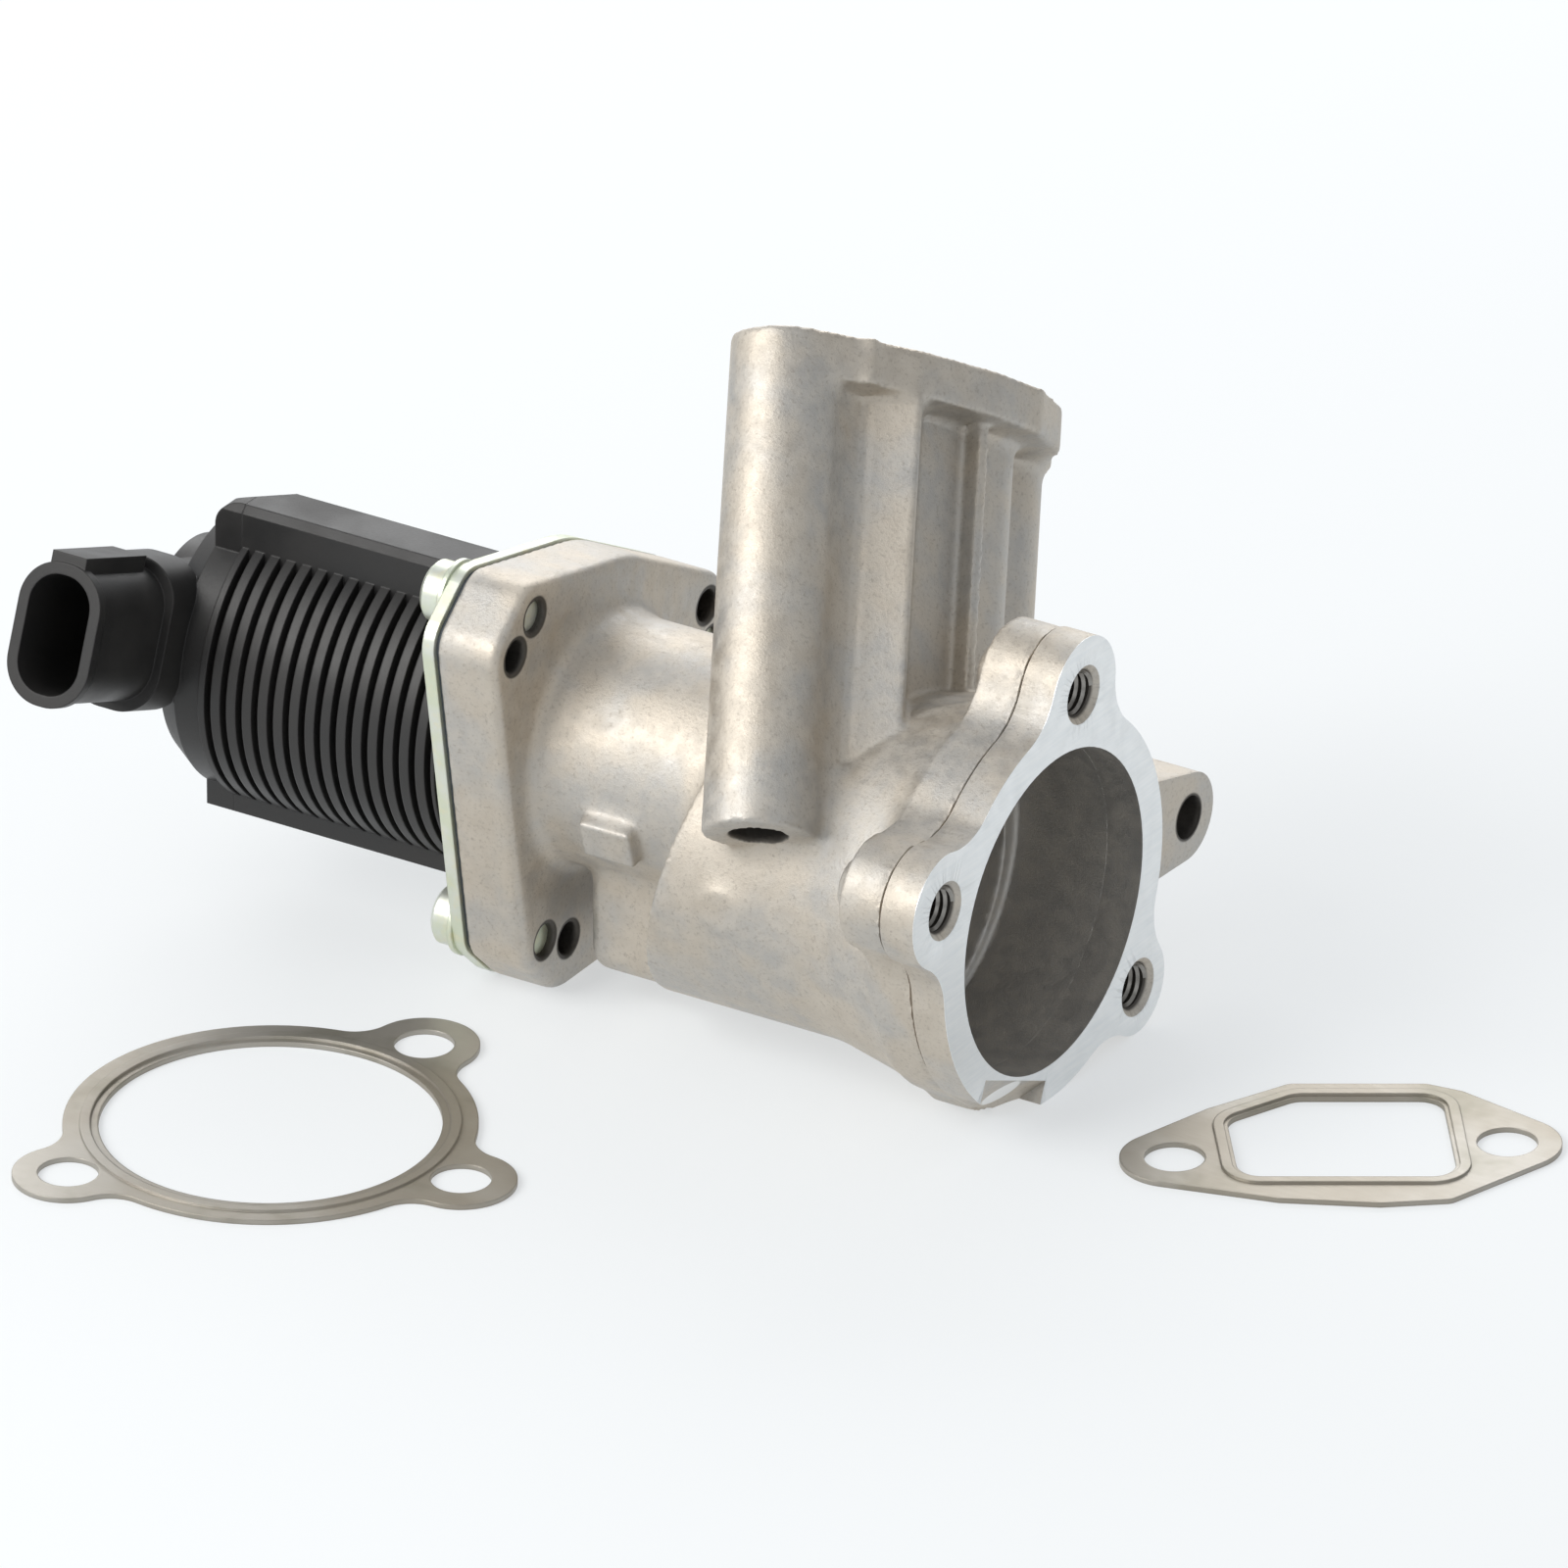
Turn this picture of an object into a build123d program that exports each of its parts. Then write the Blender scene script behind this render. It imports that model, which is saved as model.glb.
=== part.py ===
from build123d import *

import os
from math import acos, atan2, cos, hypot, pi, radians, sin

os.makedirs("parts", exist_ok=True)

# EGR valve: an aluminium casting with a solenoid actuator that slides a poppet valve.
# Frame: X is the axis of the round air bore and points out of its flange, Z is up, and the
# origin is the bore's centre on the machined flange face.  All sizes are in millimetres.

# ---- surface that the valve and its loose gaskets lie on -------------------------------------
floor_z = -30.6

# ---- round air flange (faces +X) -------------------------------------------------------------
air_bore_r = 25.0
air_ring_r = 30.6               # outer radius of the flange's ring
air_waist_r = 10.0              # hollow on each side of a lobe
air_hole_pcd_r = 33.25
air_hole_angles = (-14.0, 66.0, 226.0)   # from +Z towards -Y: 80, 160 and 120 degrees apart
air_lobe_r = 9.0                # round the two upper holes
air_face_t = 5.6                # machined front layer
air_groove_t = 1.0              # groove between the two layers
air_groove_depth = 0.9
air_collar_t = 6.5              # cast layer behind the groove
air_collar_step = 0.25          # it is this much smaller than the front layer
air_dome_t = 3.0                # rounded bosses behind the collar, over the screw holes
air_dome_r = 5.6
air_foot_angle = 160.0          # foot lobe without a hole
air_foot_pcd_r = 24.5
m8_tap_r = 3.4
m8_depth = 16.0

# ---- cast body behind the flange -------------------------------------------------------------
duct_outer_r = 26.8
duct_cone_end_x = -27.0
duct_end_top_x = -45.5          # the body's rear end leans back towards its foot
duct_end_low_x = -60.0
keel_end_x = -73.5
keel_side_y = (-12.0, 14.0)
keel_low_z = -25.6
keel_top_drop = 8.0             # its top under the valve axis, inside the chamber
keel_low_r = 5.0
keel_end_r = 2.0
duct_turn_x = -22.0             # centre of the round turning space
duct_turn_z = -2.0
duct_turn_r = 22.0
pocket_run = 3.0                # the valve pocket reaches this far past the turning space's centre

# ---- fixing lug on the far side --------------------------------------------------------------
lug_y = 48.0                    # its hole runs along X
lug_z = -7.0
lug_x = -6.0
lug_t = 10.0
lug_r = 7.0
lug_root_r = 9.0
lug_root_y = 30.0
lug_root_z = -4.0
lug_hole_r = 3.4

# ---- valve axis (parallel to X) and chamber --------------------------------------------------
valve_z = 7.8
act_face_x = -79.3              # front face of the actuator flange
act_flange_t = 10.5
act_core_r = 24.6
act_core_at = (0.8, 2.5)        # the flange's round core is a little off the valve axis
act_hole_pcd_r = 31.6
act_hole_angles = (45.0, 165.0, 285.0)    # open holes
act_screw_turn = -12.5          # the screws sit beside them, this many degrees further round
act_lobe_r = 5.2
act_far_foot = (20.0, -33.2)    # foot lobe without a hole on the far side, from the valve axis
act_edge_r = 1.4
chamber_outer_r = 19.0
chamber_nose = 10.0             # how far it runs on inside the duct body
chamber_sink = 2.0              # and into the actuator flange
flare_r = 3.2                   # at its root on the flange
chamber_r = 12.5
chamber_front_x = -49.5
chamber_back_x = -68.0
pilot_r = 17.5
pilot_depth = 6.0
m6_r = 3.0
oring_cord_r = 1.05             # of the ring that seals the actuator's spigot
oring_back = 3.2                # its groove from the base plate's front
m6_tap_r = 2.5

# ---- tower with the gas inlet ----------------------------------------------------------------
tower_base = (-27.7, -8.3, 2.2)
tower_lean = 17.7               # towards -X
tower_roll = 38.65              # towards +Y
tower_turn = 69.8               # turn of the two-hole flange about the tower's own axis
tower_h = 75.5
port_flange_t = 7.0
port_hole_half = 24.45          # half the distance between the two holes, along the flange
port_hole_skew = 2.36
port_boss_r = 8.4
port_far_boss_r = 7.2
port_corner = (22.6, -8.8, 3.0)          # extra corner of the cast flange beside the far boss
port_hole_r = 4.25
port_far_tap_depth = 24.0
port_corners = ((-13.8, -7.0), (15.6, -7.0), (13.9, 15.0), (-6.0, 15.0), (-15.2, 8.6))
port_corner_r = 2.4
port_rim_r = 2.6                # corners of the flange round the port
port_rim = ((-9.0, -12.9), (5.5, -14.3), (15.0, -13.2), (17.0, 16.4), (12.5, 18.4), (-6.6, 18.4),
            (-18.0, 11.0))
port_near_web = (-14.0, 1.0, 6.0)        # web from the near boss to the slab, as x, y, radius
port_near_web_r = 7.0
port_front_web = (-11.2, -5.3, 3.0)      # its front corner, beside the first rib
port_far_web = (14.0, 3.0, 8.0)
port_far_web_r = 5.0
port_far_boss_h = 8.0           # height over the tower's base where the far boss starts
tower_sink = 3.0                # the tower starts this deep inside the duct
port_wall = 3.6
port_floor_h = 30.0             # height over the tower's base where the straight port ends
neck_outer_r = 12.4
neck_bore_r = 8.6
neck_top_at = (0.5, 4.5)        # in the tower's own plane, on the port's floor
neck_end_x = -59.0              # on the valve axis
neck_stop = 8.0                 # its wall ends this far before the valve axis

# ---- poppet valve, seat and guide ------------------------------------------------------------
seat_outer_r = 14.0
seat_front_x = -45.0
seat_throat_r = 10.2
seat_cone_w = 1.6
seat_t = 4.5
poppet_r = 11.8
poppet_rim_t = 1.4
poppet_rim_w = 1.2              # flat of its rim, round the dished face
poppet_dish_w = 0.8
poppet_dish = 0.6
poppet_step = 0.4
poppet_trumpet = ((6.0, 0.0), (3.6, 0.8), (1.4, 3.0))   # set back, rise over the stem
rivet_h = 1.0
rivet_edge = 0.5
stem_cap = 4.0                  # the stem stops this far inside the armature's rear end
stem_r = 3.0
stroke = 5.5
seat_gap = 0.3                  # the drawn poppet rests this far off the seat's cone
bush_r = 5.0
bush_clear = 0.05               # radial running clearance
shield_r = 8.0
shield_t = 1.2
shield_rim = 1.0                # height and
shield_rim_t = 0.8              # wall of its turned-up rim
bush_nose = 2.0                 # the bush stands this far into the chamber
stem_seal_r = 8.0
stem_seal_t = 4.0
retainer_t = 1.0
retainer_lap = 2.0              # the washer covers the seal's rim by this much
washer_clear = 0.6              # round the stem in the washer and the pole piece
seal_clear = 0.1
seal_shell_t = 1.5              # outer wall,
seal_pocket = 2.6               # depth of the hollow behind it,
seal_web_t = 1.0                # wall over the lip
seal_lip = (0.8, 2.0)           # and the lip's two ends, from the washer

# ---- base plate and actuator -----------------------------------------------------------------
gasket_t = 0.5
plate_t = 2.0
cover_r = 23.6                  # over the fins
cover_core_r = 21.6             # floor of the grooves between them
fin_pitch = 2.77
fin_count = 15
fin_gap = 1.15
cover_top = 27.5                # flat top of the cable block over the valve axis
cover_low = -25.0
cover_slant = -0.62             # slope of the cut on the far upper side
cover_front_gap = 0.6
cover_back_x = -134.6
cap_rim_x = -139.4
cap_back_x = -143.6
cap_boss_x = -151.0
cap_r = 22.6
cap_end_r = 20.0
cap_boss_r = 14.0
cap_boss_edge = 0.8
can_r = 17.8
can_wall = 1.5
can_clear = 0.1
can_back_x = -131.0
bobbin_bore_r = 9.6
bobbin_wall = 1.0
bobbin_flange_r = 16.0
bobbin_flange_t = 1.4
bobbin_front_x = -95.0
bobbin_back_x = -127.5
winding_r = 15.4
sleeve_wall = 0.4
sleeve_clear = 0.1
armature_clear = 0.08           # radial running clearance in the sleeve
pole_back_x = -106.0
pole_flange_t = 2.4
armature_len = 16.0
magnetic_rest_gap = 0.8         # air gap left when the armature is pulled in
spring_mean_r = 5.2
spring_wire_r = 0.5
spring_turns = 6
spring_pocket_r = 6.6
spring_pole_pocket = 7.0
spring_arm_pocket = 5.0
yoke_t = 3.0
magnet_r = 3.2
magnet_len = 3.0

# ---- connector -------------------------------------------------------------------------------
conn_x = -146.4
conn_angle = 68.6               # from +Z towards -Y, about the valve axis
conn_mouth_r = 47.3             # distance of the mouth from the valve axis
conn_root_r = 20.0
conn_half_x = 6.6
conn_half_v = 10.4
conn_wall = 1.3
conn_depth = 20.0
conn_lip = 0.5                  # the mouth's lip stands out this much
conn_lip_len = 1.8
pin_count = 5
pin_pitch = 3.3
pin_w = 0.7
latch_w = 6.0
latch_len = 17.0
latch_h = 1.9

# ---- loose gaskets ---------------------------------------------------------------------------
sheet_t = 0.8
bead_h = 0.35
bead_w = 1.6
round_bead_out = 2.0            # middle of the round gasket's bead from its opening
port_bead_out = 0.6             # inner side of the other bead from its opening
port_gasket_inset = 0.3         # that gasket is this much smaller than the flange
round_gasket_at = (-92.4, -69.2)
round_gasket_turn = 0.0         # angle of its first hole from +X
round_gasket_waist_r = 6.0
port_gasket_grow = 1.4          # its opening is this much wider than the port
round_gasket_inner_r = 25.3
round_gasket_ring_r = 30.6
round_gasket_lobe_r = 8.3
gasket_hole_r = 4.5
port_gasket_at = (45.3, 6.9)
port_gasket_turn = 32.0


# ---- shared shapes ---------------------------------------------------------------------------
def polar_yz(radius, angle, z_axis=0.0):
    """(Y, Z) of a point at an angle measured from +Z towards -Y."""
    return (-radius * sin(radians(angle)), z_axis + radius * cos(radians(angle)))


def hull_of(circles):
    """The taut outline round circles given as (x, y, radius)."""
    with BuildSketch() as outline:
        for x, y, radius in circles:
            with Locations((x, y)):
                Circle(radius)
        make_hull()
    return outline.sketch


def ring_plane(x, z=0.0):
    """Plane across X: local x runs along Y, local y along Z."""
    return Plane(origin=(x, 0, z), x_dir=(0, 1, 0), z_dir=(1, 0, 0))


# ---- derived places --------------------------------------------------------------------------
air_holes = [polar_yz(air_hole_pcd_r, a) for a in air_hole_angles]
air_low_hole = air_holes[2]
air_low_lobe_r = air_low_hole[1] - floor_z
air_foot = polar_yz(air_foot_pcd_r, air_foot_angle)
air_foot_r = air_foot[1] - floor_z
act_holes = [polar_yz(act_hole_pcd_r, a, valve_z) for a in act_hole_angles]
act_screws = [polar_yz(act_hole_pcd_r, a + act_screw_turn, valve_z) for a in act_hole_angles]
act_foot_lobe_r = act_holes[1][1] - floor_z
act_far_foot_r = act_far_foot[1] + valve_z - floor_z
act_back_x = act_face_x - act_flange_t
plate_front_x = act_back_x - gasket_t
plate_back_x = plate_front_x - plate_t
collar_front_x = -air_face_t - air_groove_t
collar_back_x = collar_front_x - air_collar_t

tower_axis = (
    -sin(radians(tower_lean)),
    cos(radians(tower_lean)) * sin(radians(tower_roll)),
    cos(radians(tower_lean)) * cos(radians(tower_roll)),
)
tower_long = Vector(1, 0, 0).rotate(Axis((0, 0, 0), tower_axis), tower_turn)
tower = Plane(origin=tower_base, x_dir=tower_long, z_dir=tower_axis)
near_hole = (-port_hole_half, -port_hole_skew)
far_hole = (port_hole_half, port_hole_skew)


def tower_point(x, y, h):
    """A point given in the tower's own plane and its height over the base."""
    return tower.from_local_coords(Vector(x, y, h))


def around(x, y, radius, angle):
    """Point on a circle round (x, y)."""
    return (x + radius * cos(angle), y + radius * sin(angle))


def lobed_ring(ring_r, lobes, waist_r):
    """A ring with round lobes (x, y, radius), joined by hollow arcs of waist_r."""
    lobes = sorted(lobes, key=lambda lobe: atan2(lobe[1], lobe[0]))
    reach = ring_r + waist_r
    spans = []
    for x, y, radius in lobes:
        far = hypot(x, y)
        turn = acos((far ** 2 + reach ** 2 - (radius + waist_r) ** 2) / (2 * far * reach))
        spans.append((atan2(y, x), turn))
    with BuildSketch() as outline:
        with BuildLine():
            for i, (x, y, radius) in enumerate(lobes):
                angle, turn = spans[i]
                next_angle, next_turn = spans[(i + 1) % len(lobes)]
                if next_angle < angle:
                    next_angle += 2 * pi
                sides = []
                for side in (-turn, turn):
                    wx, wy = around(0, 0, reach, angle + side)
                    to_lobe = atan2(y - wy, x - wx)
                    to_ring = angle + side + pi
                    middle = atan2(
                        sin(to_lobe) + sin(to_ring), cos(to_lobe) + cos(to_ring))
                    sides.append((
                        around(0, 0, ring_r, angle + side),
                        around(wx, wy, waist_r, middle),
                        around(wx, wy, waist_r, to_lobe),
                    ))
                (ring_a, waist_a, lobe_a), (ring_b, waist_b, lobe_b) = sides
                ring_c = around(0, 0, ring_r, next_angle - next_turn)
                ring_mid = around(0, 0, ring_r, (angle + turn + next_angle - next_turn) / 2)
                ThreePointArc(ring_a, waist_a, lobe_a)
                ThreePointArc(lobe_a, around(x, y, radius, angle), lobe_b)
                ThreePointArc(lobe_b, waist_b, ring_b)
                ThreePointArc(ring_b, ring_mid, ring_c)
        make_face()
    return outline.sketch


def air_outline(shrink=0.0):
    """The three-lobe outline of the air flange with its foot."""
    lobes = [(y, z, air_lobe_r - shrink) for y, z in air_holes[:2]]
    lobes.append((air_low_hole[0], air_low_hole[1], air_low_lobe_r - shrink))
    lobes.append((air_foot[0], air_foot[1], air_foot_r - shrink))
    return lobed_ring(air_ring_r - shrink, lobes, air_waist_r + shrink)


def act_outline(shrink=0.0):
    """The rounded triangle of the actuator flange, centred on the valve axis."""
    circles = [(act_core_at[0], act_core_at[1], act_core_r - shrink)]
    for hole, radius in zip(act_holes, [act_lobe_r, act_foot_lobe_r, act_lobe_r]):
        circles.append((hole[0], hole[1] - valve_z, radius - shrink))
    for screw in act_screws:
        circles.append((screw[0], screw[1] - valve_z, act_lobe_r - shrink))
    circles.append((act_far_foot[0], act_far_foot[1], act_far_foot_r - shrink))
    return hull_of(circles)


def port_opening(grow=0.0):
    """The five-cornered gas port, in the tower's own plane."""
    with BuildSketch() as opening:
        with BuildLine():
            Polyline(*port_corners, close=True)
        make_face()
        fillet(opening.vertices(), radius=port_corner_r)
        if grow:
            offset(amount=grow)
    return opening.sketch


def port_outline(shrink=0.0):
    """The two-hole flange outline round the gas port."""
    circles = [(x, y, port_rim_r - shrink) for x, y in port_rim]
    circles += [(x, y, port_boss_r - shrink) for x, y in (near_hole, far_hole)]
    return hull_of(circles)


valve_side = Plane(origin=(0, 0, valve_z), x_dir=(1, 0, 0), z_dir=(0, -1, 0))
valve_line = Axis((0, 0, valve_z), (1, 0, 0))


def profile(points):
    """A closed outline of (x, radius) points, to be turned about the valve axis."""
    with BuildSketch() as outline:
        with BuildLine():
            Polyline(*points, close=True)
        make_face()
    return outline.sketch


def tube_profile(front_x, back_x, inner_r, outer_r):
    """Section of a plain tube between two stations."""
    return profile([(front_x, inner_r), (back_x, inner_r), (back_x, outer_r), (front_x, outer_r)])


# ==== casting =================================================================================
# Air flange: machined front layer, groove, cast collar and screw bosses.
air_face_outline = air_outline()
air_groove_outline = air_outline(air_groove_depth)
air_collar_outline = air_outline(air_collar_step)
with BuildPart() as air_flange:
    with BuildSketch(ring_plane(0)):
        add(air_face_outline)
    extrude(amount=-air_face_t)
    with BuildSketch(ring_plane(-air_face_t)):
        add(air_groove_outline)
    extrude(amount=-air_groove_t)
    with BuildSketch(ring_plane(collar_front_x)):
        add(air_collar_outline)
    extrude(amount=-air_collar_t)
    for y, z in air_holes[:2]:
        with BuildSketch(ring_plane(collar_back_x)):
            with Locations((y, z)):
                Circle(air_dome_r)
        with BuildSketch(ring_plane(collar_back_x - air_dome_t)):
            with Locations((y, z)):
                Circle(air_dome_r - air_dome_t / 2)
        loft()
    with BuildSketch(ring_plane(collar_back_x)):
        Circle(air_ring_r - air_groove_depth)
    with BuildSketch(ring_plane(duct_cone_end_x)):
        Circle(duct_outer_r)
    loft()

# Round body of the air duct, its rear end cut on a lean, and the keel under the chamber.
with BuildPart() as duct_body:
    with BuildSketch(ring_plane(-air_face_t)):
        Circle(duct_outer_r)
    extrude(amount=duct_end_low_x + air_face_t)
    with BuildSketch(Plane.XZ):
        with BuildLine():
            Polyline(
                (-air_face_t, duct_outer_r),
                (duct_end_top_x, duct_outer_r),
                (duct_end_low_x, -duct_outer_r),
                (-air_face_t, -duct_outer_r),
                close=True,
            )
        make_face()
    extrude(amount=duct_outer_r, both=True, mode=Mode.INTERSECT)

with BuildPart() as keel:
    keel_len = duct_end_top_x - keel_end_x
    keel_w = keel_side_y[1] - keel_side_y[0]
    keel_top_z = valve_z - keel_top_drop
    with BuildSketch(ring_plane(keel_end_x)):
        with Locations((sum(keel_side_y) / 2, (keel_low_z + keel_top_z) / 2)):
            Rectangle(keel_w, keel_top_z - keel_low_z)
    extrude(amount=keel_len)
    fillet(keel.edges().filter_by(Axis.X).group_by(Axis.Z)[0], radius=keel_low_r)
    fillet(keel.faces().sort_by(Axis.X)[0].edges().sort_by(Axis.Z)[0], radius=keel_end_r)

# Valve chamber with a flared root on the actuator flange, turned about the valve axis.
with BuildPart() as chamber:
    with BuildSketch(Plane(origin=(0, 0, valve_z), x_dir=(1, 0, 0), z_dir=(0, -1, 0))):
        with BuildLine():
            Polyline(
                (act_face_x + flare_r, chamber_outer_r),
                (duct_end_top_x + chamber_nose, chamber_outer_r),
                (duct_end_top_x + chamber_nose, 0),
                (act_face_x - chamber_sink, 0),
                (act_face_x - chamber_sink, chamber_outer_r + flare_r),
                (act_face_x, chamber_outer_r + flare_r),
            )
            CenterArc((act_face_x + flare_r, chamber_outer_r + flare_r), flare_r, 180, 90)
        make_face()
    revolve(axis=Axis((0, 0, valve_z), (1, 0, 0)))

act_flange_outline = act_outline()
with BuildPart() as act_flange:
    with BuildSketch(ring_plane(act_face_x, valve_z)):
        add(act_flange_outline)
    extrude(amount=-act_flange_t)
    fillet(act_flange.faces().sort_by(Axis.X)[-1].outer_wire().edges(), radius=act_edge_r)

# Tower: slab round the gas port, two screw bosses, two front ribs and the two-hole flange.
slab_h = tower_h - port_flange_t
rib_corners = ((-13.9, -10.2), (-9.4, -15.3), (-4.2, -10.0), (-9.06, -5.6))
rib_corner_r = 0.5
nub_at = (-17.4, -12.3)         # small round nub on the flange's near edge
nub_r = 1.9
thin_rib_at = (5.8, -12.0)
thin_rib_w = 1.8
thin_rib_h = 4.4
with BuildPart() as tower_block:
    with BuildSketch(tower.offset(-tower_sink)):
        add(port_opening(port_wall))
        add(hull_of([(x, y, rib_corner_r) for x, y in rib_corners]))
        with Locations(thin_rib_at):
            Rectangle(thin_rib_w, thin_rib_h)
    extrude(amount=slab_h + tower_sink)
    with BuildSketch(tower):
        with Locations(near_hole):
            Circle(port_boss_r)
        add(hull_of([(near_hole[0], near_hole[1], port_near_web_r), port_near_web, port_front_web]))
    extrude(amount=slab_h)
    with BuildSketch(tower.offset(port_far_boss_h)):
        with Locations(far_hole):
            Circle(port_far_boss_r)
        add(hull_of([(far_hole[0], far_hole[1], port_far_web_r), port_far_web]))
    extrude(amount=slab_h - port_far_boss_h)
    with BuildSketch(tower.offset(slab_h)):
        add(port_outline())
        add(hull_of([port_corner, (0, 0, port_far_boss_r), (*far_hole, port_far_boss_r)]))
        add(hull_of([port_corner, (*port_rim[2], port_rim_r), (0, 0, port_rim_r)]))
        with Locations(nub_at):
            Circle(nub_r)
    extrude(amount=port_flange_t)

# Neck that carries the gas from the port's floor into the valve chamber.
neck_top = tower_point(*neck_top_at, port_floor_h)
neck_end = Vector(neck_end_x, 0.0, valve_z)
neck_dir = neck_end - neck_top
with BuildPart() as neck:
    with BuildSketch(Plane(origin=neck_top, z_dir=neck_dir)):
        Circle(neck_outer_r)
    extrude(amount=neck_dir.length - neck_stop)

# Fixing lug on the far side of the air flange.
with BuildPart() as lug:
    with BuildSketch(ring_plane(lug_x)):
        add(hull_of([(lug_y, lug_z, lug_r), (lug_root_y, lug_root_z, lug_root_r)]))
    extrude(amount=-lug_t)

# Square cast block on the chamber's near side and a round cast pad on the duct.
block_x = -64.6
block_angle = 105.0
block_size = (9.0, 6.4)
block_h = 2.6
block_root = 5.0
block_reach = chamber_outer_r + block_h
block_dir = (0, -sin(radians(block_angle)), cos(radians(block_angle)))
block_plane = Plane(
    origin=(block_x, block_reach * block_dir[1], valve_z + block_reach * block_dir[2]),
    x_dir=(1, 0, 0),
    z_dir=block_dir,
)
pad_x = -41.0
pad_r = 3.8
pad_h = 0.5
pad_z = 0.5
pad_root = 3.5
pad_plane = Plane(origin=(pad_x, -duct_outer_r - pad_h, pad_z), x_dir=(1, 0, 0), z_dir=(0, -1, 0))

seat_back_x = seat_front_x - seat_t
pocket_front_x = duct_turn_x - pocket_run
bush_front_x = chamber_back_x + bush_nose
pilot_floor_x = act_back_x + pilot_depth

with BuildPart() as housing:
    add(air_flange.part)
    add(duct_body.part)
    add(keel.part)
    add(chamber.part)
    add(act_flange.part)
    add(tower_block.part)
    add(neck.part)
    add(lug.part)
    with BuildSketch(block_plane):
        Rectangle(*block_size)
    extrude(amount=-block_h - block_root)
    with BuildSketch(pad_plane):
        Circle(pad_r)
    extrude(amount=-pad_h - pad_root)
    # air side: bore and turning space
    with BuildSketch(ring_plane(0)):
        Circle(air_bore_r)
    extrude(amount=duct_turn_x, mode=Mode.SUBTRACT)
    with Locations((duct_turn_x, 0, duct_turn_z)):
        Sphere(duct_turn_r, mode=Mode.SUBTRACT)
    with BuildSketch(ring_plane(lug_x)):
        with Locations((lug_y, lug_z)):
            Circle(lug_hole_r)
    extrude(amount=-lug_t, mode=Mode.SUBTRACT)
    # gas side: port, neck and valve chamber
    with BuildSketch(tower.offset(tower_h)):
        add(port_opening())
    extrude(amount=port_floor_h - tower_h, mode=Mode.SUBTRACT)
    with BuildSketch(Plane(origin=neck_top - neck_dir.normalized(), z_dir=neck_dir)):
        Circle(neck_bore_r)
    extrude(amount=neck_dir.length, mode=Mode.SUBTRACT)
    with BuildSketch(ring_plane(chamber_back_x, valve_z)):
        Circle(chamber_r)
    extrude(amount=chamber_front_x - chamber_back_x, mode=Mode.SUBTRACT)
    with BuildSketch(ring_plane(seat_back_x, valve_z)):
        Circle(seat_outer_r)
    extrude(amount=pocket_front_x - seat_back_x, mode=Mode.SUBTRACT)
    # stem bush bore, seal pocket and the actuator's pilot bore
    with BuildSketch(ring_plane(chamber_back_x, valve_z)):
        Circle(bush_r)
    extrude(amount=act_back_x - chamber_back_x, mode=Mode.SUBTRACT)
    with BuildSketch(ring_plane(pilot_floor_x, valve_z)):
        Circle(stem_seal_r)
    extrude(amount=stem_seal_t, mode=Mode.SUBTRACT)
    with BuildSketch(ring_plane(act_back_x, valve_z)):
        Circle(pilot_r)
    extrude(amount=pilot_depth, mode=Mode.SUBTRACT)
    # screw holes
    with BuildSketch(ring_plane(0)):
        with Locations(*air_holes):
            Circle(m8_tap_r)
    extrude(amount=-m8_depth, mode=Mode.SUBTRACT)
    with BuildSketch(ring_plane(act_face_x)):
        with Locations(*act_holes, *act_screws):
            Circle(m6_tap_r)
    extrude(amount=-act_flange_t, mode=Mode.SUBTRACT)
    with BuildSketch(tower.offset(tower_h)):
        with Locations(near_hole):
            Circle(port_hole_r)
    extrude(amount=-tower_h, mode=Mode.SUBTRACT)
    with BuildSketch(tower.offset(tower_h)):
        with Locations(far_hole):
            Circle(m8_tap_r)
    extrude(amount=-port_far_tap_depth, mode=Mode.SUBTRACT)
housing.part.label = "housing"
export_step(housing.part, "parts/housing.step")

# ==== valve train =============================================================================
poppet_back_x = seat_front_x - seat_cone_w + seat_gap
poppet_rim_x = seat_front_x + seat_gap
poppet_dish_x = poppet_rim_x + poppet_rim_t - poppet_dish
stem_front_x = poppet_rim_x + poppet_rim_t + rivet_h
armature_front_x = pole_back_x - stroke - magnetic_rest_gap
armature_back_x = armature_front_x - armature_len
stem_back_x = armature_back_x + stem_cap
bush_back_x = pilot_floor_x + stem_seal_t
retainer_back_x = pilot_floor_x - retainer_t

# Valve seat ring pressed into the wall between the chamber and the air duct.
with BuildPart() as valve_seat:
    with BuildSketch(valve_side):
        add(profile([
            (seat_back_x, seat_throat_r),
            (seat_front_x - seat_cone_w, seat_throat_r),
            (seat_front_x, seat_throat_r + seat_cone_w),
            (seat_front_x, seat_outer_r),
            (seat_back_x, seat_outer_r),
        ]))
    revolve(axis=valve_line)
valve_seat.part.label = "valve_seat"
export_step(valve_seat.part, "parts/valve_seat.step")

# Poppet disc, closed at rest, with a trumpet-shaped back.
with BuildPart() as poppet_disc:
    with BuildSketch(valve_side):
        add(profile([
            *[(poppet_back_x - back, stem_r + rise) for back, rise in poppet_trumpet],
            (poppet_back_x - poppet_step, seat_throat_r - poppet_rim_w),
            (poppet_back_x, seat_throat_r),
            (poppet_rim_x, poppet_r),
            (poppet_rim_x + poppet_rim_t, poppet_r),
            (poppet_rim_x + poppet_rim_t, poppet_r - poppet_rim_w),
            (poppet_dish_x, poppet_r - poppet_rim_w - poppet_dish_w),
            (poppet_dish_x, stem_r),
        ]))
    revolve(axis=valve_line)
poppet_disc.part.label = "poppet_disc"
export_step(poppet_disc.part, "parts/poppet_disc.step")

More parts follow.
